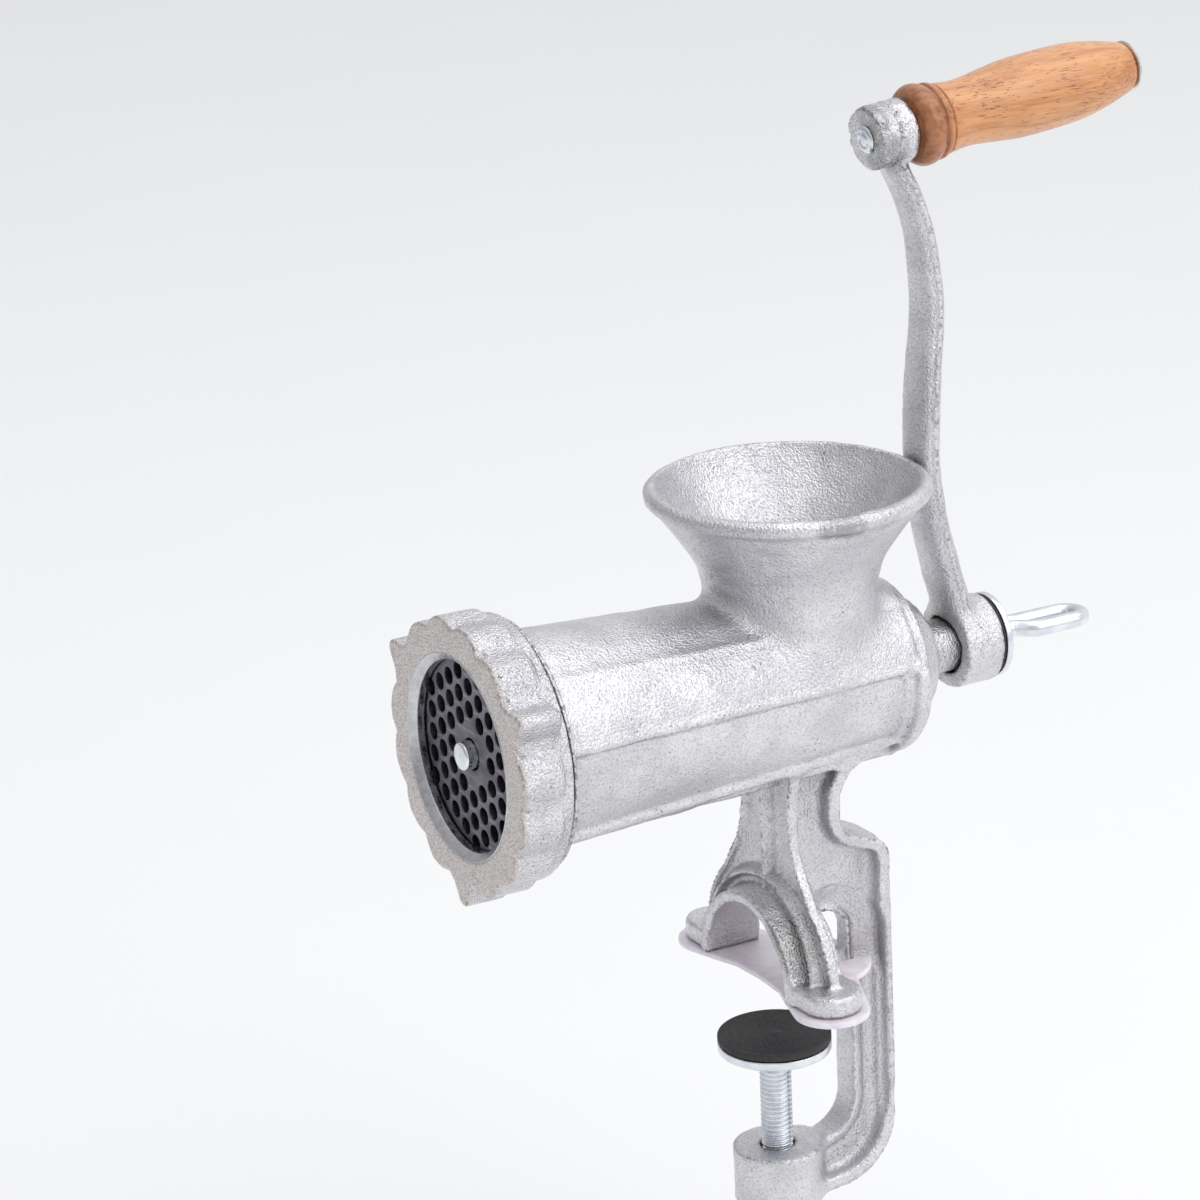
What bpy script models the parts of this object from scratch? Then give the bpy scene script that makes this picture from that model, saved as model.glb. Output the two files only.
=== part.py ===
"""Hand crank meat grinder with a table clamp.

All dimensions below are millimetres; meshes are made in metres. The barrel's axis runs along Y at
AXIS_Z, with the mouth towards -Y and the crank towards +Y. +Z is up, and the origin lies on the
table seat, midway between the two feet.
"""

from math import atan2, cos, hypot, pi, radians, sin, sqrt

import bmesh
import bpy
from mathutils import Matrix, Vector

METRES = 0.001
GAP = 0.3

# Barrel and its bore
AXIS_Z = 91.3
MOUTH_Y = -93.3
THREAD_R = 36.0
THREAD_END_Y = -83.1
SHOULDER_R = 37.2
SHOULDER_END_Y = -80.8
BARREL_FRONT_R = 32.0
BARREL_REAR_Y = 36.5
BARREL_REAR_R = 25.4
REAR_FLANGE_R = 27.6
REAR_FLANGE_END_Y = 40.5
BOSS_R = 17.0
BOSS_END_Y = 50.0
SEAT_R = 31.4
SEAT_END_Y = -84.0
BORE_FRONT_R = 26.8
BORE_REAR_R = 21.6
BORE_END_Y = 33.5
RAIL_R = 2.2

# Ring nut, plate, knife
NUT_FACE_Y = -100.7
NUT_GRIP_END_Y = -87.2
NUT_END_Y = -83.6
NUT_OPENING_R = 27.8
NUT_CAVITY_Y = -95.9
NUT_CAVITY_R = 36.5
NUT_RIM_R = 38.6
NUT_VALLEY_R = 37.9
LOBES = 15
LOBE_RISE = 2.6
LOBE_PHASE = radians(5)
EARS = 3
EAR_RISE = 4.4
EAR_PHASE = radians(29)
EAR_WIDTH = radians(6.5)
PLATE_R = 31.0
PLATE_FRONT_Y = -95.6
PLATE_THICKNESS = 5.5
PLATE_HOLE_R = 2.5
PLATE_PITCH = 6.7
HOLE_SIDES = 8
PLATE_CENTRE_R = 4.75
NOTCH_HALF_WIDTH = 3.2
KEY_R = 2.3
KEY_CENTRE_R = 31.2
KNIFE_R = 26.0
KNIFE_THICKNESS = 7.0
KNIFE_HUB_R = 10.5
PIN_SQUARE = 8.8
PIN_R = 4.2
PIN_TIP_Y = -99.2

# Auger
AUGER_FRONT_Y = -81.8
AUGER_REAR_Y = 29.5
AUGER_PITCH = 31.0
AUGER_CORE_FRONT_R = 9.5
AUGER_CORE_REAR_R = 13.5
AUGER_CLEARANCE = 0.9
JOURNAL_R = 8.0
JOURNAL_END_Y = 58.8
DRIVE_SQUARE = 11.0
DRIVE_END_Y = 74.2
BUSH_R = 10.0
BUSH_FLANGE_R = 12.6
WASHER_THICKNESS = 2.4

# Hopper
HOPPER_Y = 10.0
RIM_Z = 149.2
RIM_R = 39.0
LIP_R = 2.6
NECK_BORE_R = 21.0

# Crank
HUB_R = 13.2
HUB_FRONT_Y = 62.6
HUB_END_Y = 75.4
ARM_PATH = (
    (66.5, 96.0, 8.6, 4.6),
    (65.0, 104.0, 8.4, 4.5),
    (61.3, 117.0, 8.1, 4.4),
    (57.9, 131.0, 7.8, 4.2),
    (56.0, 146.0, 7.4, 4.0),
    (55.8, 160.0, 7.3, 4.1),
    (57.0, 178.0, 7.0, 4.0),
    (58.5, 193.0, 6.7, 3.9),
    (58.0, 205.0, 6.4, 3.7),
    (55.9, 219.0, 6.0, 3.4),
    (52.2, 230.0, 5.9, 3.3),
    (47.6, 239.0, 6.0, 3.2),
)
EYE_Y = 45.3
EYE_Z = 247.7
EYE_R = 9.3
EYE_LENGTH = 12.4
GRIP_TILT = radians(5.5)
ROD_R = 2.55
EYE_SCREW_TIP_Y = 61.0
LOOP_START_Y = 86.0
LOOP_END_Y = 113.0
LOOP_HALF_WIDTH = 5.2
LOOP_TURN = radians(4)
CRANK_WASHER_R = 12.8

# Grip, as distance along its own axis from the eye's rear face, and radius
SPINDLE_R = 3.4
SPINDLE_HEAD_R = 7.5
GRIP_OUTLINE = (
    (1.6, 8.8),
    (2.4, 10.6),
    (4.2, 11.8),
    (6.4, 12.0),
    (8.8, 11.3),
    (10.5, 10.4),
    (11.4, 10.3),
    (16.0, 9.8),
    (21.0, 9.9),
    (28.0, 10.7),
    (36.0, 11.7),
    (44.0, 12.2),
    (52.0, 12.0),
    (60.0, 11.1),
    (67.0, 9.8),
    (73.0, 8.3),
    (76.0, 7.0),
    (77.0, 5.6),
)
GRIP_END = 77.0

# Feet, post and clamp frame
FOOT_Z = 2.1
FOOT_TOP_Z = 8.6
FOOT_HALF_DEPTH = 8.8
FOOT_END_X = 42.0
ARCH_R = 22.3
ARCH_Z = 2.3
VAULT_R = 26.2
LEG_R = 33.2
POST_HALF_WIDTH = 13.2
POST_FRONT_Y = -3.4
POST_BACK_Y = 1.8
WEB_HALF = 4.0
FLANGE_HALF = 9.5
FLANGE_THICKNESS = 3.6
SPINE_REAR_Y = 35.8
THROAT_Y = 24.4
THROAT_TOP_Z = 17.5
CLAMP_FLOOR_Z = -54.0
CLAMP_BASE_Z = -72.0
CLAMP_BOSS_R = 13.5

# Pad and clamp screw
PAD_THICKNESS = 1.8
PAD_LOBE_X = 33.0
PAD_LOBE_R = 11.3
TABLE_GAP = 18.0
SCREW_R = 4.8
SCREW_ROD_R = 4.5
SCREW_HOLE_R = 5.15
DISC_R = 17.0
DISC_THICKNESS = 3.2
DISC_PAD_THICKNESS = 2.2
SCREW_LOOP_HALF_WIDTH = 11.5
SCREW_LOOP_LENGTH = 44.0
SCREW_STRAIGHT = 70.0

CAST = ((0.66, 0.66, 0.67), 0.42, 1.0)
STEEL = ((0.62, 0.63, 0.65), 0.25, 1.0)
PLATE_STEEL = ((0.14, 0.13, 0.15), 0.4, 1.0)
WOOD = ((0.66, 0.36, 0.16), 0.35, 0.0)
MILKY = ((0.80, 0.76, 0.82), 0.35, 0.0)
BLACK = ((0.02, 0.02, 0.02), 0.5, 0.0)
WHITE = ((0.85, 0.84, 0.80), 0.4, 0.0)


def clear_scene():
    for item in list(bpy.data.objects):
        bpy.data.objects.remove(item, do_unlink=True)


def material(name, look):
    colour, roughness, metallic = look
    made = bpy.data.materials.new(name)
    made.use_nodes = True
    shader = made.node_tree.nodes["Principled BSDF"]
    shader.inputs["Base Color"].default_value = (*colour, 1.0)
    shader.inputs["Roughness"].default_value = roughness
    shader.inputs["Metallic"].default_value = metallic
    return made


def add_object(name, points, faces, look=None):
    """A mesh object from points in millimetres; without a look it is a tool for a Boolean."""
    mesh = bpy.data.meshes.new(name)
    mesh.from_pydata([[METRES * value for value in point] for point in points], [], faces)
    made = bpy.data.objects.new(name, mesh)
    bpy.context.scene.collection.objects.link(made)
    shape = bmesh.new()
    shape.from_mesh(mesh)
    bmesh.ops.recalc_face_normals(shape, faces=shape.faces)
    shape.to_mesh(mesh)
    shape.free()
    mesh.shade_smooth()
    mesh.set_sharp_from_angle(angle=radians(35))
    if look is None:
        made.hide_render = True
        made.display_type = "WIRE"
    else:
        mesh.materials.append(material(name, look))
    return made


def combine(target, tool, operation):
    step = target.modifiers.new(tool.name, "BOOLEAN")
    step.operation = operation
    step.object = tool


def join(target, *tools):
    for tool in tools:
        combine(target, tool, "UNION")


def cut(target, *tools):
    for tool in tools:
        combine(target, tool, "DIFFERENCE")


def rings(name, sections, look=None):
    """A closed body through rings of equally many points, capped at both ends."""
    count = len(sections[0])
    points = [point for section in sections for point in section]
    faces = [list(range(count)), list(range(len(points) - count, len(points)))]
    for row in range(len(sections) - 1):
        for column in range(count):
            a = row * count + column
            b = row * count + (column + 1) % count
            faces.append([a, b, b + count, a + count])
    return add_object(name, points, faces, look)


def turned(name, profile, place, steps=36, look=None):
    """A body of revolution. The profile lists distance along the axis and radius, and place maps
    distance, radius and angle to a point."""
    sections = [
        [place(along, radius, 2 * pi * step / steps) for step in range(steps)]
        for along, radius in profile
    ]
    return rings(name, sections, look)


def about_barrel(along, radius, angle):
    return (radius * cos(angle), along, AXIS_Z + radius * sin(angle))


def about_hopper(along, radius, angle):
    return (radius * cos(angle), HOPPER_Y + radius * sin(angle), along)


def about_clamp(along, radius, angle):
    return (radius * cos(angle), radius * sin(angle), along)


def about_grip(along, radius, angle):
    """Distance along the grip's tilted axis, counted from the middle of the crank's eye."""
    return (
        radius * cos(angle),
        EYE_Y + along * cos(GRIP_TILT) - radius * sin(angle) * sin(GRIP_TILT),
        EYE_Z + along * sin(GRIP_TILT) + radius * sin(angle) * cos(GRIP_TILT),
    )


def prism(name, outline, low, high, axis, look=None):
    """An outline extruded along axis: an X prism has its outline in Y and Z, a Y prism in X and Z,
    a Z prism in X and Y."""
    order = {"X": (2, 0, 1), "Y": (0, 2, 1), "Z": (0, 1, 2)}[axis]
    sections = []
    for level in (low, high):
        ring = [(first, second, level) for first, second in outline]
        sections.append([tuple(point[index] for index in order) for point in ring])
    return rings(name, sections, look)


def arc(centre, radius, start, end, steps):
    """Points on an arc, with the angles in degrees."""
    return [
        (
            centre[0] + radius * cos(radians(start + (end - start) * step / steps)),
            centre[1] + radius * sin(radians(start + (end - start) * step / steps)),
        )
        for step in range(steps + 1)
    ]


def rounded(corners, steps=6):
    """An open line through corners, each given as two coordinates and the radius of its fillet."""
    line = [Vector(corners[0][:2])]
    for before, corner, after in zip(corners, corners[1:], corners[2:]):
        here = Vector(corner[:2])
        back = (Vector(before[:2]) - here).normalized()
        ahead = (Vector(after[:2]) - here).normalized()
        half = back.angle(ahead) / 2
        reach = corner[2] / (sin(half) / cos(half))
        centre = here + (back + ahead).normalized() * corner[2] / sin(half)
        first = here + back * reach - centre
        last = here + ahead * reach - centre
        start = atan2(first.y, first.x)
        turn = (atan2(last.y, last.x) - start + pi) % (2 * pi) - pi
        for step in range(steps + 1):
            angle = start + turn * step / steps
            line.append(centre + corner[2] * Vector((cos(angle), sin(angle))))
    line.append(Vector(corners[-1][:2]))
    return line


def band(line, inward):
    """The closed outline between an open line and its copy moved sideways."""
    moved = []
    for index, point in enumerate(line):
        before = line[max(index - 1, 0)]
        after = line[min(index + 1, len(line) - 1)]
        along = (after - before).normalized()
        moved.append(point + inward * Vector((along.y, -along.x)))
    return [tuple(point) for point in line] + [tuple(point) for point in reversed(moved)]


def tube(name, path, radius, sides=10, look=None):
    """A round rod along points; the radius may be a function of the point's index."""
    sections = []
    side = (path[1] - path[0]).orthogonal()
    for index, point in enumerate(path):
        before = path[max(index - 1, 0)]
        after = path[min(index + 1, len(path) - 1)]
        along = (after - before).normalized()
        side = (side - along * side.dot(along)).normalized()
        other = along.cross(side)
        size = radius(index) if callable(radius) else radius
        sections.append(
            [
                point + size * (side * cos(2 * pi * s / sides) + other * sin(2 * pi * s / sides))
                for s in range(sides)
            ]
        )
    return rings(name, sections, look)


def barrel_radius(y):
    share = (y - SHOULDER_END_Y) / (BARREL_REAR_Y - SHOULDER_END_Y)
    return BARREL_FRONT_R + share * (BARREL_REAR_R - BARREL_FRONT_R)


def bore_radius(y):
    share = (y - SEAT_END_Y) / (BORE_END_Y - SEAT_END_Y)
    return BORE_FRONT_R + share * (BORE_REAR_R - BORE_FRONT_R)


def barrel_shapes():
    outer = turned(
        "barrel_outer",
        (
            (MOUTH_Y, THREAD_R),
            (THREAD_END_Y, THREAD_R),
            (THREAD_END_Y + 0.05, SHOULDER_R),
            (SHOULDER_END_Y, SHOULDER_R),
            (SHOULDER_END_Y + 1.5, BARREL_FRONT_R),
            (BARREL_REAR_Y, BARREL_REAR_R),
            (BARREL_REAR_Y + 0.8, REAR_FLANGE_R),
            (REAR_FLANGE_END_Y, REAR_FLANGE_R),
            (REAR_FLANGE_END_Y + 1.8, REAR_FLANGE_R - 2.4),
            (REAR_FLANGE_END_Y + 3.6, 20.8),
            (REAR_FLANGE_END_Y + 5.0, BOSS_R + 1.2),
            (BOSS_END_Y - 1.0, BOSS_R),
            (BOSS_END_Y, BOSS_R - 1.0),
        ),
        about_barrel,
    )
    rails = []
    for side in (-1, 1):
        path = []
        for y in (SHOULDER_END_Y + 1, BARREL_REAR_Y + 1):
            reach = barrel_radius(y) + 0.2
            path.append(Vector((side * reach * cos(radians(54)), y, AXIS_Z - reach * sin(radians(54)))))
        rails.append(tube(f"rail_{side}", path, RAIL_R, 8))
    return outer, rails


def bore_shape():
    return turned(
        "bore_cut",
        (
            (MOUTH_Y - 2, SEAT_R),
            (SEAT_END_Y, SEAT_R),
            (SEAT_END_Y + 0.02, BORE_FRONT_R),
            (BORE_END_Y, BORE_REAR_R),
            (BORE_END_Y + 0.02, BUSH_R + GAP),
            (BOSS_END_Y + 2, BUSH_R + GAP),
        ),
        about_barrel,
    )


def hopper_shapes():
    lip_outer = [
        (RIM_Z + LIP_R * sin(radians(angle)), RIM_R + LIP_R * cos(radians(angle)))
        for angle in (-60, -20, 20, 60, 90)
    ]
    outer = turned(
        "hopper_outer",
        [(AXIS_Z, 24.4), (116.0, 24.9), (121.5, 25.4), (127.5, 27.0), (133.0, 29.8), (139.5, 34.2)]
        + [(144.5, 38.0)]
        + lip_outer,
        about_hopper,
    )
    inner = turned(
        "hopper_cut",
        (
            (AXIS_Z - 4, NECK_BORE_R - 0.4),
            (114.0, NECK_BORE_R),
            (121.5, NECK_BORE_R + 0.7),
            (127.5, NECK_BORE_R + 2.2),
            (133.0, NECK_BORE_R + 4.8),
            (139.5, NECK_BORE_R + 9.0),
            (146.0, NECK_BORE_R + 14.2),
            (151.9, NECK_BORE_R + 18.2),
            (154.0, NECK_BORE_R + 18.4),
        ),
        about_hopper,
    )
    return outer, inner


def support_shapes():
    """The post, the arched legs and the feet, as solids that the housing joins."""
    leg = (
        arc((0, ARCH_Z), LEG_R, 4, 46, 7)
        + [(15.6, 36.0), (13.6, 42.0), (POST_HALF_WIDTH, 50.0), (14.6, 60.0), (17.5, 68.0)]
    )
    mirrored = [(-x, z) for x, z in reversed(leg)]
    legs = prism("legs", leg + mirrored, POST_FRONT_Y, POST_BACK_Y, "Y")
    vault = prism(
        "vault",
        arc((0, ARCH_Z), VAULT_R, 0, 180, 20),
        -FOOT_HALF_DEPTH + 0.2,
        FOOT_HALF_DEPTH - 0.2,
        "Y",
    )
    rim = prism("leg_rim", arc((0, ARCH_Z), LEG_R - 1, 6, 174, 22), -6.0, POST_BACK_Y - 1, "Y")
    rib = prism("front_rib", [(-2, 30), (2, 30), (2, 70), (-2, 70)], POST_FRONT_Y - 2, 0, "Y")
    feet = []
    for side in (-1, 1):
        radius = FOOT_HALF_DEPTH
        end = arc((FOOT_END_X - radius, 0), radius, -90, 90, 10)
        outline = [(side * x, y) for x, y in [(20.0, -radius)] + end + [(20.0, radius)]]
        feet.append(prism(f"foot_{side}", outline, FOOT_Z, FOOT_TOP_Z, "Z"))
    return legs, vault, rim, rib, *feet


def outer_line():
    """The rear and lower outline of the clamp frame, in Y and Z, from the barrel to the boss."""
    return rounded(
        (
            (27.0, 69.0),
            (18.8, 56.5, 7.0),
            (18.8, 44.0, 8.0),
            (SPINE_REAR_Y, 38.0, 7.0),
            (SPINE_REAR_Y, CLAMP_BASE_Z + 5.0, 20.0),
            (2.0, CLAMP_BASE_Z + 1.0),
        )
    )


def throat_line(offset):
    """The inner outline of the clamp frame, in Y and Z, moved into the throat by offset."""
    floor = CLAMP_FLOOR_Z - 1.0 + offset
    rear = THROAT_Y - offset
    roof = THROAT_TOP_Z - offset
    return rounded(((2.0, floor), (rear, floor, 12.0), (rear, roof, 7.0), (8.0, roof)))


def frame_shapes():
    outer = outer_line()
    inner = throat_line(0.0)
    top = [(2.0, THROAT_TOP_Z), (2.0, 69.0)]
    web = prism("web", [tuple(p) for p in outer] + [tuple(p) for p in inner] + top, -WEB_HALF,
                WEB_HALF, "X")
    flange = prism("flange", band(outer, FLANGE_THICKNESS), -FLANGE_HALF, FLANGE_HALF, "X")
    lip = prism("throat_lip", band(throat_line(0.2)[:-1], 2.8), -WEB_HALF - 1.0, WEB_HALF + 1.0, "X")
    boss = turned(
        "clamp_boss", ((CLAMP_BASE_Z, CLAMP_BOSS_R), (CLAMP_FLOOR_Z, CLAMP_BOSS_R - 1)), about_clamp, 24
    )
    return web, flange, lip, boss


def housing():
    body, rails = barrel_shapes()
    body.name = "housing"
    body.hide_render = False
    body.display_type = "TEXTURED"
    body.data.materials.append(material("housing", CAST))
    hopper, hopper_cut = hopper_shapes()
    join(body, *rails, hopper, *support_shapes(), *frame_shapes())
    cut(body, bore_shape(), hopper_cut)
    cut(
        body,
        prism(
            "arch_cut",
            arc((0, ARCH_Z), ARCH_R, 0, 180, 20) + [(-ARCH_R, -5), (ARCH_R, -5)],
            -FOOT_HALF_DEPTH - 2,
            FOOT_HALF_DEPTH + 0.4,
            "Y",
        ),
        turned("key_cut", ((MOUTH_Y - 2, KEY_R + GAP), (SEAT_END_Y - 1, KEY_R + GAP)), about_key, 12),
        turned(
            "screw_cut",
            ((CLAMP_BASE_Z - 2, SCREW_HOLE_R), (CLAMP_FLOOR_Z + 2, SCREW_HOLE_R)),
            about_clamp,
            20,
        ),
    )
    return body


def about_key(along, radius, angle):
    return (radius * cos(angle), along, AXIS_Z - KEY_CENTRE_R + radius * sin(angle))


def plate_key():
    turned(
        "plate_key",
        ((MOUTH_Y + 0.4, KEY_R - 0.3), (MOUTH_Y + 0.8, KEY_R), (SEAT_END_Y - 1.6, KEY_R)),
        about_key,
        12,
        STEEL,
    )


def nut_radius(angle):
    """The grip's outline: shallow lobes all round and three tall ears."""
    wave = 0.5 + 0.5 * cos(LOBES * (angle - LOBE_PHASE))
    ear_gap = (angle - EAR_PHASE + pi / EARS) % (2 * pi / EARS) - pi / EARS
    ear = EAR_RISE * 2.718 ** (-((ear_gap / EAR_WIDTH) ** 2))
    return NUT_VALLEY_R + max(LOBE_RISE * sqrt(wave), LOBE_RISE * wave + ear)


def ring_nut():
    steps = 90
    sections = []
    for y, share in (
        (NUT_FACE_Y, 0.0),
        (NUT_FACE_Y + 0.9, 1.0),
        (NUT_GRIP_END_Y - 2.0, 1.0),
        (NUT_GRIP_END_Y - 0.4, 0.6),
        (NUT_GRIP_END_Y, 0.0),
        (NUT_END_Y, 0.0),
    ):
        section = []
        for step in range(steps):
            angle = 2 * pi * step / steps
            low = NUT_RIM_R if y > NUT_GRIP_END_Y - 1 else nut_radius(angle) - 0.9
            section.append(about_barrel(y, low + share * (nut_radius(angle) - low), angle))
        sections.append(section)
    nut = rings("ring_nut", sections, CAST)
    cavity = turned(
        "nut_cut",
        (
            (NUT_FACE_Y - 0.5, NUT_OPENING_R + 1.5),
            (NUT_FACE_Y + 1.0, NUT_OPENING_R),
            (NUT_CAVITY_Y, NUT_OPENING_R),
            (NUT_CAVITY_Y + 0.02, NUT_CAVITY_R),
            (NUT_END_Y + 1.0, NUT_CAVITY_R),
        ),
        about_barrel,
        45,
    )
    cut(nut, cavity)


def plate_hole_centres():
    """A hexagonal field of holes that leaves out the rim and the middle."""
    centres = []
    for column in range(-5, 6):
        for row in range(-5, 6):
            x = column * PLATE_PITCH * sqrt(3) / 2
            z = (row + 0.5 * (column % 2)) * PLATE_PITCH
            if 8.5 < hypot(x, z) < PLATE_R - PLATE_HOLE_R - 1.4:
                centres.append((x, z))
    return centres


def grinding_plate():
    outline = []
    notch_angle = atan2(NOTCH_HALF_WIDTH, PLATE_R)
    span = 2 * pi - 2 * notch_angle
    for step in range(57):
        angle = -pi / 2 + notch_angle + span * step / 56
        outline.append((PLATE_R * cos(angle), AXIS_Z + PLATE_R * sin(angle)))
    notch_top = AXIS_Z - PLATE_R + 3.2
    outline += [(-NOTCH_HALF_WIDTH, notch_top), (NOTCH_HALF_WIDTH, notch_top)]
    back = PLATE_FRONT_Y + PLATE_THICKNESS
    plate = prism("grinding_plate", outline, PLATE_FRONT_Y, back, "Y", PLATE_STEEL)
    points = []
    faces = []
    for x, z in plate_hole_centres():
        start = len(points)
        ring = arc((x, AXIS_Z + z), PLATE_HOLE_R, 0, 315, HOLE_SIDES - 1)
        points += [(u, y, w) for y in (PLATE_FRONT_Y - 1, back + 1) for u, w in ring]
        low = [start + side for side in range(HOLE_SIDES)]
        high = [index + HOLE_SIDES for index in low]
        faces += [low, high]
        faces += [[low[s - 1], low[s], high[s], high[s - 1]] for s in range(HOLE_SIDES)]
    cut(plate, add_object("plate_holes", points, faces))
    centre = ((PLATE_FRONT_Y - 1, PLATE_CENTRE_R), (back + 1, PLATE_CENTRE_R))
    cut(plate, turned("plate_centre", centre, about_barrel, 20))


def knife():
    """Four swept blades on a hub with a square hole."""
    front = PLATE_FRONT_Y + PLATE_THICKNESS + GAP
    outline = []
    for blade in range(4):
        base = pi / 2 * blade
        for offset, radius in ((-0.62, 10.0), (-0.20, KNIFE_R), (0.10, KNIFE_R), (0.26, 10.2)):
            angle = base + offset
            outline.append((radius * cos(angle), AXIS_Z + radius * sin(angle)))
    blades = prism("knife", outline, front, front + KNIFE_THICKNESS - 2.2, "Y", STEEL)
    hub = ((front + 0.3, KNIFE_HUB_R), (front + KNIFE_THICKNESS, KNIFE_HUB_R))
    join(blades, turned("knife_hub", hub, about_barrel, 24))
    cut(blades, square_bar("knife_square", PIN_SQUARE + 2 * GAP, front - 1, front + KNIFE_THICKNESS + 1))


def square_bar(name, width, low, high, look=None):
    half = width / 2
    outline = [(x, AXIS_Z + z) for x, z in ((-half, -half), (half, -half), (half, half), (-half, half))]
    return prism(name, outline, low, high, "Y", look)


def auger_pin():
    square_end = PLATE_FRONT_Y + PLATE_THICKNESS + 0.1
    pin = square_bar("auger_pin", PIN_SQUARE, square_end, AUGER_FRONT_Y - GAP, STEEL)
    join(
        pin,
        turned(
            "pin_tip",
            ((PIN_TIP_Y, PIN_R - 0.8), (PIN_TIP_Y + 0.8, PIN_R), (square_end + 1, PIN_R)),
            about_barrel,
            20,
        ),
        turned(
            "pin_root", ((AUGER_FRONT_Y - 0.5, 4.0), (AUGER_FRONT_Y + 14, 4.0)), about_barrel, 16
        ),
    )


def auger():
    """A tapered core with one left-hand flight, its journal and the square that drives it."""
    per_turn = 13
    turns = (AUGER_REAR_Y - AUGER_FRONT_Y - 4) / AUGER_PITCH
    stations = int(per_turn * turns)
    profile = [(24, 0), (31, 1), (79, 1), (86, 0)]
    profile += [(angle, 0) for angle in range(112, 380, 27)]
    sections = []
    for station in range(stations + 1):
        share = station / stations
        y = AUGER_FRONT_Y + share * (AUGER_REAR_Y - AUGER_FRONT_Y)
        core = AUGER_CORE_FRONT_R + share * (AUGER_CORE_REAR_R - AUGER_CORE_FRONT_R)
        flight = bore_radius(y) - AUGER_CLEARANCE
        twist = 2 * pi * turns * share
        sections.append(
            [
                about_barrel(y, core + rise * (flight - core), radians(angle) + twist)
                for angle, rise in profile
            ]
        )
    screw = rings("auger", sections, CAST)
    shaft = turned(
        "auger_shaft",
        (
            (AUGER_REAR_Y - 4, BORE_REAR_R - 1.8),
            (AUGER_REAR_Y + 1.0, BORE_REAR_R - 1.8),
            (AUGER_REAR_Y + 1.02, JOURNAL_R),
            (JOURNAL_END_Y - 0.6, JOURNAL_R),
            (JOURNAL_END_Y, JOURNAL_R - 0.6),
        ),
        about_barrel,
        32,
    )
    join(screw, shaft, square_bar("auger_square", DRIVE_SQUARE, JOURNAL_END_Y - 1, DRIVE_END_Y))
    cut(
        screw,
        turned("socket_cut", ((AUGER_FRONT_Y - 2, 4.3), (AUGER_FRONT_Y + 15, 4.3)), about_barrel, 16),
        turned("thread_cut", ((DRIVE_END_Y + 2, 3.2), (EYE_SCREW_TIP_Y - 2, 3.2)), about_barrel, 16),
    )


def auger_washer():
    front = AUGER_REAR_Y + 1.0 + GAP
    washer = turned(
        "auger_washer", ((front, 15.0), (front + WASHER_THICKNESS, 15.0)), about_barrel, 32, WHITE
    )
    hole = ((front - 1, JOURNAL_R + GAP), (front + WASHER_THICKNESS + 1, JOURNAL_R + GAP))
    cut(washer, turned("auger_washer_cut", hole, about_barrel, 32))


def rear_bush():
    start = BORE_END_Y + 1.0
    bush = turned(
        "rear_bush",
        (
            (start, BUSH_R),
            (BOSS_END_Y + GAP, BUSH_R),
            (BOSS_END_Y + GAP + 0.02, BUSH_FLANGE_R),
            (BOSS_END_Y + 2.2, BUSH_FLANGE_R),
            (BOSS_END_Y + 2.8, BUSH_FLANGE_R - 0.6),
        ),
        about_barrel,
        32,
        STEEL,
    )
    hole = ((start - 1, JOURNAL_R + 0.15), (BOSS_END_Y + 5, JOURNAL_R + 0.15))
    cut(bush, turned("bush_cut", hole, about_barrel, 32))


def crank_arm():
    sections = []
    last = len(ARM_PATH) - 1
    for index, (y, z, half_x, half_n) in enumerate(ARM_PATH):
        before = ARM_PATH[max(index - 1, 0)]
        after = ARM_PATH[min(index + 1, last)]
        along = Vector((0, after[0] - before[0], after[1] - before[1])).normalized()
        normal = Vector((0, along.z, -along.y))
        section = []
        for step in range(12):
            angle = 2 * pi * step / 12
            across = Vector((half_x * cos(angle), 0, 0)) + normal * half_n * sin(angle)
            section.append(Vector((0, y, z)) + across)
        sections.append(section)
    arm = rings("crank_arm", sections, CAST)
    half = EYE_LENGTH / 2
    hub = (
        (HUB_FRONT_Y, HUB_R - 0.8),
        (HUB_FRONT_Y + 0.8, HUB_R),
        (HUB_END_Y - 0.5, HUB_R),
        (HUB_END_Y, HUB_R - 0.5),
    )
    eye = ((-half, EYE_R - 0.7), (0.7 - half, EYE_R), (half - 0.7, EYE_R), (half, EYE_R - 0.7))
    join(arm, turned("hub", hub, about_barrel, 36), turned("eye", eye, about_grip, 28))
    cut(
        arm,
        square_bar("hub_square", DRIVE_SQUARE + 2 * GAP, HUB_FRONT_Y - 1, HUB_END_Y + 1),
        turned("hub_recess", ((HUB_FRONT_Y - 1, 8.7), (HUB_FRONT_Y + 2.6, 8.7)), about_barrel, 24),
        turned("eye_cut", ((-half - 1, 3.3), (half + 1, 3.3)), about_grip, 16),
    )


def crank_washers():
    """A thin dark gasket and the steel washer over it, both loose on the eye screw."""
    start = HUB_END_Y + GAP
    for name, radius, low, thickness, look in (
        ("crank_gasket", CRANK_WASHER_R - 0.6, start, 0.7, BLACK),
        ("crank_washer", CRANK_WASHER_R, start + 0.7 + GAP, 2.0, STEEL),
    ):
        washer = turned(name, ((low, radius), (low + thickness, radius)), about_barrel, 36, look)
        hole = ((low - 1, ROD_R + 0.75), (low + thickness + 1, ROD_R + 0.75))
        cut(washer, turned(f"{name}_cut", hole, about_barrel, 20))


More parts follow.
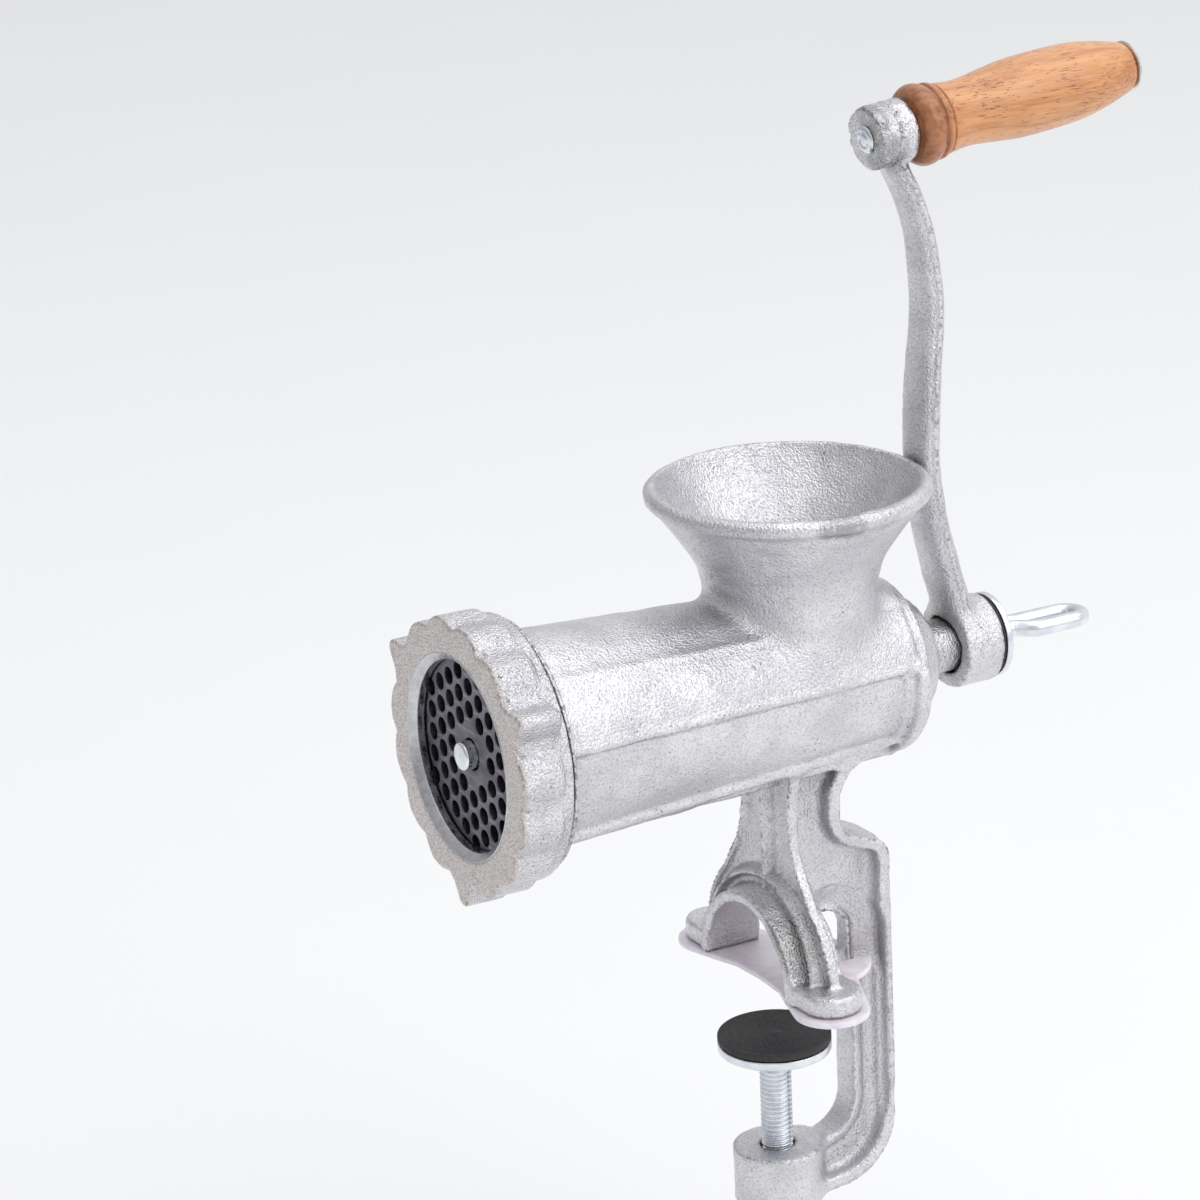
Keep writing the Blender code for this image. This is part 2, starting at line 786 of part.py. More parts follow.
def eye_path(start, bend_start, bend_end, half_width, place):
    """A rod that runs straight, steps aside and comes back round a half circle to a cut end."""
    step_length = 1.35 * half_width
    path = [(start, 0), (bend_start, 0)]
    for index in range(1, 6):
        share = index / 6
        path.append((bend_start + step_length * share, half_width * (1 - cos(pi * share)) / 2))
    path.append((bend_start + step_length, half_width))
    centre = bend_end - half_width
    for index in range(13):
        angle = pi / 2 - pi * index / 12
        path.append((centre + half_width * cos(angle), half_width * sin(angle)))
    path.append((bend_start + 0.35 * half_width, -half_width))
    return [place(along, across) for along, across in path]


def crank_eye_screw():
    def place(along, across):
        return Vector((across * cos(LOOP_TURN), along, AXIS_Z + across * sin(LOOP_TURN)))

    path = eye_path(EYE_SCREW_TIP_Y + 6, LOOP_START_Y, LOOP_END_Y - ROD_R, LOOP_HALF_WIDTH, place)
    screw = tube("crank_eye_screw", path, ROD_R, 12, STEEL)
    thread = ((EYE_SCREW_TIP_Y, 2.4), (EYE_SCREW_TIP_Y + 0.6, 2.9), (EYE_SCREW_TIP_Y + 14, 2.9))
    join(screw, turned("eye_screw_thread", thread, about_barrel, 16))


def grip_spindle():
    half = EYE_LENGTH / 2
    turned(
        "grip_spindle",
        (
            (-half - 1.3, 2.0),
            (-half - 0.9, 3.6),
            (-half - GAP, 4.2),
            (-half - GAP + 0.02, 3.0),
            (half + 1.4, 3.0),
            (half + 1.42, SPINDLE_R),
            (half + GRIP_END + GAP, SPINDLE_R),
            (half + GRIP_END + GAP + 0.02, SPINDLE_HEAD_R),
            (half + GRIP_END + 1.2, SPINDLE_HEAD_R),
            (half + GRIP_END + 2.2, SPINDLE_HEAD_R - 2.0),
        ),
        about_grip,
        24,
        STEEL,
    )


def grip_washer():
    start = EYE_LENGTH / 2 + GAP
    washer = turned("grip_washer", ((start, 7.5), (start + 0.9, 7.5)), about_grip, 24, STEEL)
    cut(washer, turned("grip_washer_cut", ((start - 1, 3.9), (start + 2, 3.9)), about_grip, 16))


def wooden_grip():
    half = EYE_LENGTH / 2
    grip = turned(
        "wooden_grip", [(half + along, radius) for along, radius in GRIP_OUTLINE], about_grip, 26, WOOD
    )
    hole = ((half, SPINDLE_R + GAP), (half + GRIP_END + 2, SPINDLE_R + GAP))
    cut(grip, turned("grip_cut", hole, about_grip, 16))


def foot_pad():
    """A thin plastic pad: a round lobe under each foot and one behind, slotted for the web."""
    half = (
        [(0.0, -4.6), (12.0, -5.2), (20.0, -7.8)]
        + arc((PAD_LOBE_X, 0.0), PAD_LOBE_R, -105, 75, 12)
        + arc((0.0, 13.5), 18.0, 18, 70, 6)
        + [(WEB_HALF + 1.6, 30.4), (WEB_HALF + 1.6, THROAT_Y - 3.2)]
    )
    mirrored = [(-x, y) for x, y in reversed(half[1:])]
    prism("foot_pad", half + mirrored, 0.0, PAD_THICKNESS, "Z", MILKY)


def clamp_parts():
    top = -TABLE_GAP
    pad_low = top - DISC_PAD_THICKNESS
    disc_top = pad_low - GAP
    disc_low = disc_top - DISC_THICKNESS
    turned(
        "clamp_disc_pad",
        ((pad_low, DISC_R), (top - 0.5, DISC_R), (top, DISC_R - 0.5)),
        about_clamp,
        36,
        BLACK,
    )
    disc = turned(
        "clamp_disc",
        (
            (disc_low - 4.0, 8.0),
            (disc_low - 0.6, 8.6),
            (disc_low, DISC_R - 0.8),
            (disc_low + 0.8, DISC_R),
            (disc_top, DISC_R),
        ),
        about_clamp,
        36,
        STEEL,
    )
    socket = (
        (disc_low - 6.0, 5.3),
        (disc_low - 1.0, 5.3),
        (disc_low - 0.98, 3.3),
        (disc_top - 1.6, 3.3),
        (disc_top - 1.58, 4.6),
        (disc_top + 1.0, 4.6),
    )
    cut(disc, turned("disc_socket", socket, about_clamp, 20))
    tip = disc_top - 0.3

    def place(along, across):
        return Vector((across, 0, tip - along))

    path = eye_path(
        10.0, SCREW_STRAIGHT, SCREW_STRAIGHT + SCREW_LOOP_LENGTH, SCREW_LOOP_HALF_WIDTH, place
    )
    screw = tube("clamp_screw", path, SCREW_ROD_R, 14, STEEL)
    thread = (
        (tip - 66.0, 4.5),
        (tip - 65.5, SCREW_R),
        (disc_low - 1.5, SCREW_R),
        (disc_low - 1.3, 3.0),
        (tip - 1.1, 3.0),
        (tip - 1.08, 4.3),
        (tip - 0.4, 4.3),
        (tip, 3.0),
    )
    join(screw, turned("clamp_thread", thread, about_clamp, 20))


def set_origin(name, point):
    """Moves an object's origin to a point given in millimetres and leaves its mesh in place."""
    target = bpy.data.objects[name]
    place = Vector(point) * METRES
    target.data.transform(Matrix.Translation(-place))
    target.location = place


def main():
    clear_scene()
    housing()
    plate_key()
    ring_nut()
    grinding_plate()
    knife()
    auger_pin()
    auger()
    auger_washer()
    rear_bush()
    crank_arm()
    crank_washers()
    crank_eye_screw()
    grip_spindle()
    grip_washer()
    wooden_grip()
    foot_pad()
    clamp_parts()
    for name in ("ring_nut", "grinding_plate", "knife", "auger", "auger_pin", "auger_washer",
                 "crank_arm", "crank_washer", "crank_gasket", "crank_eye_screw"):
        set_origin(name, (0, 0, AXIS_Z))
    for name in ("wooden_grip", "grip_spindle", "grip_washer"):
        set_origin(name, (0, EYE_Y, EYE_Z))


main()
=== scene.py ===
"""The looks of the hand crank meat grinder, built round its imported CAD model.

Lengths are millimetres in the shapes below, in the CAD's frame: the barrel's axis runs along Y at
AXIS_Z, the mouth faces -Y, +Z is up and the origin lies on the table seat. Castings are signed
distance fields, meshed by surface nets; turned and bent pieces are swept meshes.
"""

from math import atan2, cos, degrees, hypot, pi, radians, sin, sqrt, tau

import bmesh
import bpy
import numpy as np
from mathutils import Matrix, Vector


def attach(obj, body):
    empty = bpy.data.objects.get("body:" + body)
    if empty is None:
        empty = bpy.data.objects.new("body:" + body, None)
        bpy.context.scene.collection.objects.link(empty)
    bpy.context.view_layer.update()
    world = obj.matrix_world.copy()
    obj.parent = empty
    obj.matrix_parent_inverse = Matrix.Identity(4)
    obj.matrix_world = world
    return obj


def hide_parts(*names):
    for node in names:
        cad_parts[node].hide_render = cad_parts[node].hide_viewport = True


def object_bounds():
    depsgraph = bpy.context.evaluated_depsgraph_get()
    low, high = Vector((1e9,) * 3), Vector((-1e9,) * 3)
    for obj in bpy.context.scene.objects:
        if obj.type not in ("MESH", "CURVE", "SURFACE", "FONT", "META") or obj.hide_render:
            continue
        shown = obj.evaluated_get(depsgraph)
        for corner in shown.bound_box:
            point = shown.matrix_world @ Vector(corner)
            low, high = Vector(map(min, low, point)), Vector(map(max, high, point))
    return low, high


MM = 0.001
AXIS_Z = 91.3

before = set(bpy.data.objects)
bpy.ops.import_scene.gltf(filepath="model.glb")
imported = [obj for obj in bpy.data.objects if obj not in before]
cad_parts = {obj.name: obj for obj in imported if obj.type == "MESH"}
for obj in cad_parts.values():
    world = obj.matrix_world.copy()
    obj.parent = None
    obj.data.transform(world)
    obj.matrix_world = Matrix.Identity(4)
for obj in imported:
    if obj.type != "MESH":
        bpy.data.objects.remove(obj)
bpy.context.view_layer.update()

# ---- fields


class Grid:
    """Sample points in a box, and the meshing of a field over them. Fields are negative inside."""

    def __init__(self, low, high, step):
        self.low = np.array(low, np.float32)
        self.step = step
        axes = [np.arange(a, b + step, step, dtype=np.float32) for a, b in zip(low, high)]
        self.shape = tuple(len(axis) for axis in axes)
        self.x, self.y, self.z = np.meshgrid(*axes, indexing="ij", sparse=True)

    def radius_y(self, z):
        """Distance from the line along Y at x = 0 and this height."""
        return np.hypot(self.x, self.z - z)

    def mesh(self, field, name, body, look):
        points, faces = surface_net(np.broadcast_to(field, self.shape), self.low, self.step)
        return add_mesh(name, points, faces, body, look)


CORNERS = [(i, j, k) for i in (0, 1) for j in (0, 1) for k in (0, 1)]


def surface_net(field, low, step):
    """One point in each cell that the surface crosses, at the mean of its edge crossings."""
    inside = field < 0
    cells = tuple(n - 1 for n in field.shape)

    def at(corner):
        return tuple(slice(c, c + n) for c, n in zip(corner, cells))

    count = sum(inside[at(corner)].astype(np.int8) for corner in CORNERS)
    active = np.nonzero((count > 0) & (count < 8))
    index = np.full(cells, -1, np.int32)
    index[active] = np.arange(len(active[0]))
    values = {c: field[tuple(a + o for a, o in zip(active, c))] for c in CORNERS}
    total = np.zeros((len(active[0]), 3))
    crossings = np.zeros(len(active[0]))
    for axis in range(3):
        for first in CORNERS:
            if first[axis]:
                continue
            second = tuple(c + (n == axis) for n, c in enumerate(first))
            a, b = values[first], values[second]
            crossed = (a < 0) != (b < 0)
            share = np.where(crossed, a / np.where(crossed, a - b, 1), 0)
            place = np.tile(np.array(first, float), (len(share), 1))
            place[:, axis] += share
            total += place * crossed[:, None]
            crossings += crossed
    points = (np.stack(active, 1) + total / crossings[:, None]) * step + low
    faces = []
    for axis in range(3):
        u, v = [n for n in range(3) if n != axis]
        ends = [slice(0, n) for n in field.shape]
        for side in (u, v):
            ends[side] = slice(1, field.shape[side] - 1)
        start, stop = list(ends), list(ends)
        start[axis] = slice(0, field.shape[axis] - 1)
        stop[axis] = slice(1, field.shape[axis])
        a, b = inside[tuple(start)], inside[tuple(stop)]
        edge = np.nonzero(a != b)
        base = list(edge)
        base[u] = base[u] + 1
        base[v] = base[v] + 1
        corners = []
        for du, dv in ((1, 1), (0, 1), (0, 0), (1, 0)):
            cell = list(base)
            cell[u] = cell[u] - du
            cell[v] = cell[v] - dv
            corners.append(index[tuple(cell)])
        quads = np.stack(corners, 1)
        flip = a[edge] != (axis == 1)
        quads[~flip] = quads[~flip][:, ::-1]
        faces.append(quads)
    return points, np.concatenate(faces)


def union(a, b, blend=0.0):
    """The union of two fields, with a fillet about as wide as blend."""
    low = np.minimum(a, b)
    if not blend:
        return low
    near = np.maximum(blend - np.abs(a - b), 0) / blend
    return low - near * near * (blend / 4)


def meet(a, b, blend=0.0):
    """What two fields share."""
    return -union(-a, -b, blend)


def cut(a, b, blend=0.0):
    """The first field without the second."""
    return -union(-a, b, blend)


def line_distance(line, u, v):
    """Unsigned distance from (u, v) to an open line, with u and v open to broadcasting."""
    nearest = np.float32(1e12)
    for (au, av), (bu, bv) in zip(line, line[1:]):
        du, dv = bu - au, bv - av
        length = du * du + dv * dv
        if length == 0:
            continue
        share = np.clip(((u - au) * du + (v - av) * dv) / length, 0, 1)
        nearest = np.minimum(nearest, (u - au - share * du) ** 2 + (v - av - share * dv) ** 2)
    return np.sqrt(nearest)


def outline_distance(points, u, v):
    """Signed distance from (u, v) to a closed outline."""
    loop = list(points) + [points[0]]
    inside = np.zeros(np.broadcast_shapes(u.shape, v.shape), bool)
    for (au, av), (bu, bv) in zip(loop, loop[1:]):
        if av != bv:
            inside ^= ((v >= av) != (v >= bv)) & (u < au + (v - av) * (bu - au) / (bv - av))
    return np.where(inside, -1, 1) * line_distance(loop, u, v)


def lathe(profile, along, radius, step=0.25):
    """The field of a body of revolution, from a profile of distance along the axis and radius.

    The profile is closed beyond the axis, so that its closing line never counts as a surface.
    """
    beyond_axis = -9.0
    closed = [(profile[0][0], beyond_axis)] + list(profile) + [(profile[-1][0], beyond_axis)]
    low_u, high_u = float(along.min()), float(along.max())
    high_v = float(radius.max())
    u = np.arange(low_u, high_u + 2 * step, step, dtype=np.float32)[:, None]
    v = np.arange(0, high_v + 2 * step, step, dtype=np.float32)[None, :]
    table = outline_distance(closed, u, v).astype(np.float32)
    return lookup(table, (along - low_u) / step, radius / step)


def lookup(table, u, v):
    """Bilinear samples of a table; u and v broadcast together."""
    u, v = np.broadcast_arrays(u, v)
    i = np.clip(u.astype(np.int32), 0, table.shape[0] - 2)
    j = np.clip(v.astype(np.int32), 0, table.shape[1] - 2)
    s, t = u - i, v - j
    flat = table.ravel()
    n = table.shape[1]
    k = i * n + j
    near = flat[k] * (1 - t) + flat[k + 1] * t
    far = flat[k + n] * (1 - t) + flat[k + n + 1] * t
    return near * (1 - s) + far * s


def slab(value, low, high):
    """The field of everything whose value lies between low and high."""
    return np.maximum(low - value, value - high)


def arc(centre, radius, start, end, steps):
    """Points on an arc, with the angles in degrees."""
    return [
        (
            centre[0] + radius * cos(radians(start + (end - start) * step / steps)),
            centre[1] + radius * sin(radians(start + (end - start) * step / steps)),
        )
        for step in range(steps + 1)
    ]


def rounded(corners, steps=8):
    """An open line through corners, each given as two coordinates and the radius of its fillet."""
    line = [tuple(corners[0][:2])]
    for before, corner, after in zip(corners, corners[1:], corners[2:]):
        here = Vector(corner[:2])
        back = (Vector(before[:2]) - here).normalized()
        ahead = (Vector(after[:2]) - here).normalized()
        half = back.angle(ahead) / 2
        reach = corner[2] * cos(half) / sin(half)
        centre = here + (back + ahead).normalized() * corner[2] / sin(half)
        first = here + back * reach - centre
        last = here + ahead * reach - centre
        start = atan2(first.y, first.x)
        turn = (atan2(last.y, last.x) - start + pi) % tau - pi
        for step in range(steps + 1):
            angle = start + turn * step / steps
            line.append((centre.x + corner[2] * cos(angle), centre.y + corner[2] * sin(angle)))
    line.append(tuple(corners[-1][:2]))
    return line


def between(points, value):
    """Straight lines through points of a value and a result."""
    return np.interp(value, *zip(*points))


def bump(value, centre, width):
    """A smooth bell, 1 at centre."""
    return np.exp(-(((value - centre) / width) ** 2))


def ease(value, low, high):
    """A smooth step from 0 at low to 1 at high."""
    share = np.clip((value - low) / (high - low), 0, 1)
    return share * share * (3 - 2 * share)


def lumps(points, size, seed):
    """Smooth noise of about unit height at points, with lumps of this size."""
    count = 32
    lattice = np.random.default_rng(seed).standard_normal((count, count, count))
    spot = points / size + 1000.0
    cell = np.floor(spot).astype(int)
    share = spot - cell
    share = share * share * (3 - 2 * share)
    total = np.zeros(len(points))
    for corner in CORNERS:
        at = tuple(((cell + corner) % count).T)
        weight = np.prod(np.where(corner, share, 1 - share), axis=1)
        total += lattice[at] * weight
    return total


# ---- meshes


def new_object(name, data):
    """An object that shows this data, in the scene's collection."""
    made = bpy.data.objects.new(name, data)
    bpy.context.scene.collection.objects.link(made)
    return made


def add_mesh(name, points, faces, body, look, smooth_angle=None):
    """A mesh object from points in millimetres, riding on a body."""
    mesh = bpy.data.meshes.new(name)
    points = np.asarray(points, float) * MM
    mesh.from_pydata(points.tolist(), [], faces.tolist() if isinstance(faces, np.ndarray) else faces)
    mesh.update()
    made = new_object(name, mesh)
    mesh.materials.append(look)
    mesh.shade_smooth()
    if smooth_angle:
        mesh.set_sharp_from_angle(angle=radians(smooth_angle))
    if body:
        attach(made, body)
    return made


def displace(made, heights):
    """Moves each vertex along its normal by heights, in millimetres."""
    mesh = made.data
    moved = vertex_values(mesh, "co") + vertex_values(mesh, "normal") * (heights * MM)[:, None]
    mesh.vertices.foreach_set("co", moved.astype(np.float32).ravel())
    mesh.update()


def vertex_values(mesh, kind):
    values = np.empty(len(mesh.vertices) * 3, np.float32)
    mesh.vertices.foreach_get(kind, values)
    return values.reshape(-1, 3)


def vertex_places(made):
    """Vertices in millimetres."""
    return vertex_values(made.data, "co") / MM


def cast_surface(made, seed, depth=1.0):
    """The slight waviness and grain of a sand casting."""
    places = vertex_places(made)
    heights = cast_heights(places, ((0.10, 9.0), (0.05, 3.6), (0.035, 1.5)), seed)
    displace(made, heights * depth)


def cast_heights(places, layers, seed):
    """The sum of noise layers, each given as its height and the size of its lumps."""
    return sum(height * lumps(places, size, seed + n) for n, (height, size) in enumerate(layers))


def skin(name, sections, body, look, smooth_angle=40, closed=False):
    """A skin through rings of equally many points: closed on itself, or with caps on both ends."""
    rows, count = len(sections), len(sections[0])
    points = [tuple(point) for section in sections for point in section]
    faces = []
    for row in range(rows if closed else rows - 1):
        here, ahead = row * count, (row + 1) % rows * count
        for side in range(count):
            beside = (side + 1) % count
            faces.append([here + side, here + beside, ahead + beside, ahead + side])
    if not closed:
        faces.append(list(range(count))[::-1])
        faces.append(list(range(len(points) - count, len(points))))
    return outward(add_mesh(name, points, faces, body, look, smooth_angle))


def soften(profile, bevel):
    """A closed profile with every corner rounded, for turned pieces."""
    steps = 3
    soft = []
    for index, corner in enumerate(profile):
        here = Vector(corner)
        before = Vector(profile[index - 1]) - here
        after = Vector(profile[(index + 1) % len(profile)]) - here
        if before.length < 1e-6 or after.length < 1e-6:
            continue
        reach = min(bevel, before.length * 0.45, after.length * 0.45)
        first = here + before.normalized() * reach
        last = here + after.normalized() * reach
        for step in range(steps + 1):
            share = step / steps
            near = first.lerp(here, share)
            far = here.lerp(last, share)
            soft.append(tuple(near.lerp(far, share)))
    return soft


def ring_of(name, profile, place, body, look, steps=96, bevel=0.3):
    """A turned ring from a closed profile of distance along the axis and radius."""
    profile = soften(profile, bevel)
    angles = [tau * step / steps for step in range(steps)]
    sections = [[place(along, radius, angle) for along, radius in profile] for angle in angles]
    return skin(name, sections, body, look, closed=True)


def rod_of(name, profile, place, body, look, steps=96):
    """A turned solid from an open profile that starts and ends near the axis."""
    angles = [tau * step / steps for step in range(steps)]
    sections = [[place(along, radius, angle) for angle in angles] for along, radius in profile]
    return skin(name, sections, body, look)


def outward(made):
    """Turns every face's normal outwards."""
    shape = bmesh.new()
    shape.from_mesh(made.data)
    bmesh.ops.recalc_face_normals(shape, faces=shape.faces)
    shape.to_mesh(made.data)
    shape.free()
    return made


def about_barrel(along, radius, angle):
    return (radius * cos(angle), along, AXIS_Z + radius * sin(angle))


def about_clamp(along, radius, angle):
    return (radius * cos(angle), radius * sin(angle), along)


def about_grip(along, radius, angle):
    """Distance along the grip's tilted axis, counted from the middle of the crank's eye."""
    return (
        radius * cos(angle),
        EYE_Y + along * cos(GRIP_TILT) - radius * sin(angle) * sin(GRIP_TILT),
        EYE_Z + along * sin(GRIP_TILT) + radius * sin(angle) * cos(GRIP_TILT),
    )


# ---- sizes

MOUTH_Y = -93.3
SHOULDER_Y = -83.1
BARREL_FRONT_Y = -80.8
BARREL_REAR_Y = 36.5
BARREL_FRONT_R = 32.0
BARREL_REAR_R = 25.4
REAR_FLANGE_END_Y = 42
UPPER_FLANGE_R = 24.6
BORE_FRONT_Y = -84.0
BORE_REAR_Y = 33.5
BORE_FRONT_R = 26.8
BORE_REAR_R = 21.6
PANEL_TOP = 8.3  # degrees above the axis
PANEL_FADE_BELOW = (43, 47)  # degrees under the axis
PANEL_FADE_Y = (31.5, 33.5)
PANEL_STEP = 0.052
PANEL_HOLLOW = 0.010
# Ridges and hollows along the barrel: share of its radius, angle above the axis and width in degrees.
BARREL_SWELLS = ((0.010, 11.5, 2.5), (0.013, 50, 2.6), (-0.014, 58, 7), (-0.055, -61.5, 7.5))
KEEL_HALF = 10.0
KEEL_DEPTH = (29.6, 26.2)  # below the axis, at the shoulder and at the rear flange
RAIL_ANGLE = radians(-49)
RAIL_R = 2.1
THREAD_R = 36.1
HOPPER_Y = 10.0
RIM_Z = 149.2
RIM_R = 39.0
LIP_R = 2.6
ARCH_Z = 2.3
ARCH_R = 22.3
ARCH_Y = (-12.0, 9.3)
LEG_R = 35.7
VAULT_R = 25.8
PLATE_BACK_Y = 2.2
WEB_HALF = 4.0
FLANGE_HALF = 9.5
SPINE_Y = 35.8
THROAT_Y = 24.4
THROAT_TOP_Z = 17.5
CLAMP_FLOOR_Z = -54.0
CLAMP_BASE_Z = -72.0
CLAMP_BOSS_R = 13.3
SCREW_HOLE_R = 5.15
KEY_DROP = 31.2
KEY_R = 2.6
KEY_REAR_Y = -84.5
FOOT_END_X = 42.0
FOOT_R = 8.8
FOOT_TOP_Z = 8.2
FEET_LOW_Z = 2.1
PAD_THICKNESS = 1.8

NUT_FACE_Y = -100.45
NUT_GRIP_END_Y = -87.2
NUT_END_Y = -83.6
NUT_OPENING_R = 27.8
NUT_PITCH = 3.0
LOBES = 15
LOBE_PHASE = radians(5)
LOBE_RISE = 2.6
EAR_PHASE = radians(29)
EAR_HALF = radians(5.2)
EAR_RISE = 4.9
NUT_VALLEY_R = 37.9
NUT_RIM_R = 38.6

PLATE_FRONT_Y = -95.6
PLATE_THICKNESS = 5.5
PLATE_R = 31.0
PLATE_PITCH = 6.7
PLATE_HOLE_R = 2.5
PLATE_BORE_R = 4.75
PLATE_NOTCH = 3.2
PLATE_RIM = 1.4
HOLES_FROM_R = 8.5

HUB_FRONT_Y = 62.6
HUB_END_Y = 75.4
HUB_RECESS = 3.4
HUB_RECESS_R = 8.8
SOCKET_HALF = 5.8
EYE_Y = 45.3
EYE_Z = 247.7
EYE_HALF = 6.2
EYE_R = 9.25
EYE_BORE_R = 3.3
GRIP_TILT = radians(5.5)
ARM_SQUARENESS = 2.3
# Y, Z, half the width along X and half the thickness, from the hub to the eye.
ARM_PATH = (
    (66.5, 96.0, 8.6, 4.6), (65.0, 104.0, 8.4, 4.5), (61.3, 117.0, 8.1, 4.4), (57.9, 131.0, 7.8, 4.2),
    (56.0, 146.0, 7.4, 4.0), (55.8, 160.0, 7.3, 4.1), (57.0, 178.0, 7.0, 4.0), (58.5, 193.0, 6.7, 3.9),
    (58.0, 205.0, 6.4, 3.7), (55.9, 219.0, 6.0, 3.4), (52.2, 230.0, 5.9, 3.3), (47.6, 239.0, 6.0, 3.2),
)

# Profiles are (Y or Z, radius) and outlines (Y, Z); a third value is a fillet's radius.
SHOULDER_PROFILE = (
    (SHOULDER_Y, 5.0), (SHOULDER_Y, 37.3, 0.5), (BARREL_FRONT_Y - 0.8, 37.3, 0.6),
    (BARREL_FRONT_Y - 0.2, 34.8, 1.0), (BARREL_FRONT_Y + 0.6, 31.5, 0.3), (BARREL_FRONT_Y + 0.6, 5.0),
)
REAR_PROFILE = (
    (BARREL_REAR_Y - 0.4, 5.0), (BARREL_REAR_Y - 0.4, 27.6, 1.2), (40.6, 27.3, 1.4),
    (42.4, 22.8, 1.2), (44.2, 19.4, 2.2), (49.9, 16.9, 1.0), (50.2, 5.0),
)
HOPPER_OUTSIDE = (
    (AXIS_Z, 24.2), (112.0, 24.6), (118.0, 25.0), (123.0, 25.7), (128.0, 27.0),
    (132.0, 29.0), (136.0, 31.6), (140.0, 34.4), (143.6, 37.2), (145.6, 38.6),
)
HOPPER_INSIDE = (
    (AXIS_Z - 3, 20.6), (114.0, 21.0), (119.0, 21.4), (124.0, 22.2), (128.0, 23.6), (132.0, 25.8),
    (136.0, 28.6), (140.0, 31.6), (144.0, 34.4), (148.0, 36.6), (151.0, 38.0), (156.0, 39.5),
)
BORE_PROFILE = (
    (MOUTH_Y - 4, 31.4), (BORE_FRONT_Y, 31.4), (-83.9, BORE_FRONT_R), (BORE_REAR_Y, BORE_REAR_R),
    (BORE_REAR_Y + 0.1, 10.3), (54.0, 10.3),
)
NECK_SLOPE = ((16.0, 96.0), (16.0, 124.0), (30.5, 121.5), (35.5, 117.5), (39.0, 112.5), (40.4, 96.0))
FRAME_BACK = (
    (27.0, 69.0), (18.9, 56.5, 7.0), (18.9, 44.0, 8.0), (SPINE_Y, 38.0, 7.0),
    (SPINE_Y, CLAMP_BASE_Z + 5.0, 20.0), (2.0, CLAMP_BASE_Z + 1.0),
)
FRAME_THROAT = (
    (2.0, CLAMP_FLOOR_Z - 1.0), (THROAT_Y, CLAMP_FLOOR_Z - 1.0, 12.0),
    (THROAT_Y, THROAT_TOP_Z, 7.0), (6.0, THROAT_TOP_Z),
)
# The post's side as (X, Z), from the leg up to the barrel.
POST_SIDE = (
    (19.2, 35.6), (16.3, 40.0), (14.7, 44.5), (13.8, 50.0), (13.7, 57.0), (14.8, 63.0), (17.0, 69.0),
)
# The Y of the post's front by the distance from the arch's centre, the middle and the outline.
LEG_RELIEF = (
    (21.0, -8.8), (25.2, -8.8), (25.8, -6.0), (27.0, -1.9), (28.8, -1.6), (29.9, -2.8), (30.5, -2.6),
    (32.2, 0.7),
)
RIB_RELIEF = ((0.0, -2.7), (0.6, -2.4), (2.0, 0.7))
EDGE_RELIEF = ((0.0, -1.5), (0.8, -1.3), (2.0, 0.7))
# Half the web's thickness by the distance from the throat.
DISH_RELIEF = ((0.0, 2.9), (1.0, 2.9), (1.7, 1.9), (3.4, 1.9), (8.6, 3.7), (9.4, 5.0))
NUT_HOLE = (
    (NUT_FACE_Y - 3, NUT_OPENING_R + 5.6), (NUT_FACE_Y + 2.1, NUT_OPENING_R + 0.5),
    (-95.9, NUT_OPENING_R + 0.5), (-95.8, 36.5), (NUT_END_Y + 3, 36.5),
)
HUB_PROFILE = (
    (HUB_FRONT_Y, 2.0), (HUB_FRONT_Y, 13.2, 1.1), (HUB_END_Y, 13.2, 0.6), (HUB_END_Y, 2.0),
)

HOUSING_STEP = 0.65
WORN_PLACES = (((40.5, 1.0, 149.0), 6.5), ((39.5, 6.5, 149.0), 6.0), ((22.0, -7.0, 20.0), 12.0))
CRANK_WORN_PLACES = (((4.0, 38.0, 252.0), 9.0), ((6.0, 42.0, 243.0), 9.0))

# ---- housing


def taper(y, front, rear):
    """A value that changes evenly along the barrel, from its shoulder to its rear flange."""
    share = (y - BARREL_FRONT_Y) / (BARREL_REAR_Y - BARREL_FRONT_Y)
    return front + share * (rear - front)


def barrel_field(g):
    """The barrel: round above, with a side panel, a rail and a keel below.

    Its shape is a share of the cone's radius, set by the angle above the axis in degrees.
    """
    radius = g.radius_y(AXIS_Z)
    side = np.degrees(np.arctan2(g.z - AXIS_Z, np.abs(g.x)))
    cone = taper(g.y, BARREL_FRONT_R, BARREL_REAR_R)
    panel = ease(-side, -PANEL_TOP - 1, -PANEL_TOP) * (1 - ease(g.y, *PANEL_FADE_Y))
    panel = panel * (1 - ease(-side, *PANEL_FADE_BELOW))
    shape = 1 - PANEL_STEP * panel - PANEL_HOLLOW * panel * bump(side, -20, 16)
    for share, angle, width in BARREL_SWELLS:
        shape = shape + share * bump(side, angle, width)
    body = (radius - cone * shape) * 0.97
    reach = cone - 1.3
    rail_x = np.abs(g.x) - reach * cos(RAIL_ANGLE)
    rail_z = g.z - AXIS_Z - reach * sin(RAIL_ANGLE)
    body = union(body, np.hypot(rail_x, rail_z) - RAIL_R, 0.5)
    keel_low = AXIS_Z - taper(g.y, *KEEL_DEPTH)
    keel = np.maximum(slab(g.x, -KEEL_HALF, KEEL_HALF), slab(g.z, keel_low, AXIS_Z))
    body = union(body, keel, 1.2)
    body = np.maximum(body, slab(g.y, MOUTH_Y + 5, BARREL_REAR_Y + 1))
    turn = (g.y / NUT_PITCH - np.arctan2(g.z - AXIS_Z, g.x) / tau) % 1.0
    ridges = radius - THREAD_R + 2.4 * np.abs(turn - 0.5)
    thread = np.maximum(ridges, slab(g.y, MOUTH_Y, SHOULDER_Y + 1))
    ends = lathe(rounded(SHOULDER_PROFILE, 5), g.y, radius)
    return union(union(body, ends, 1.5), thread)


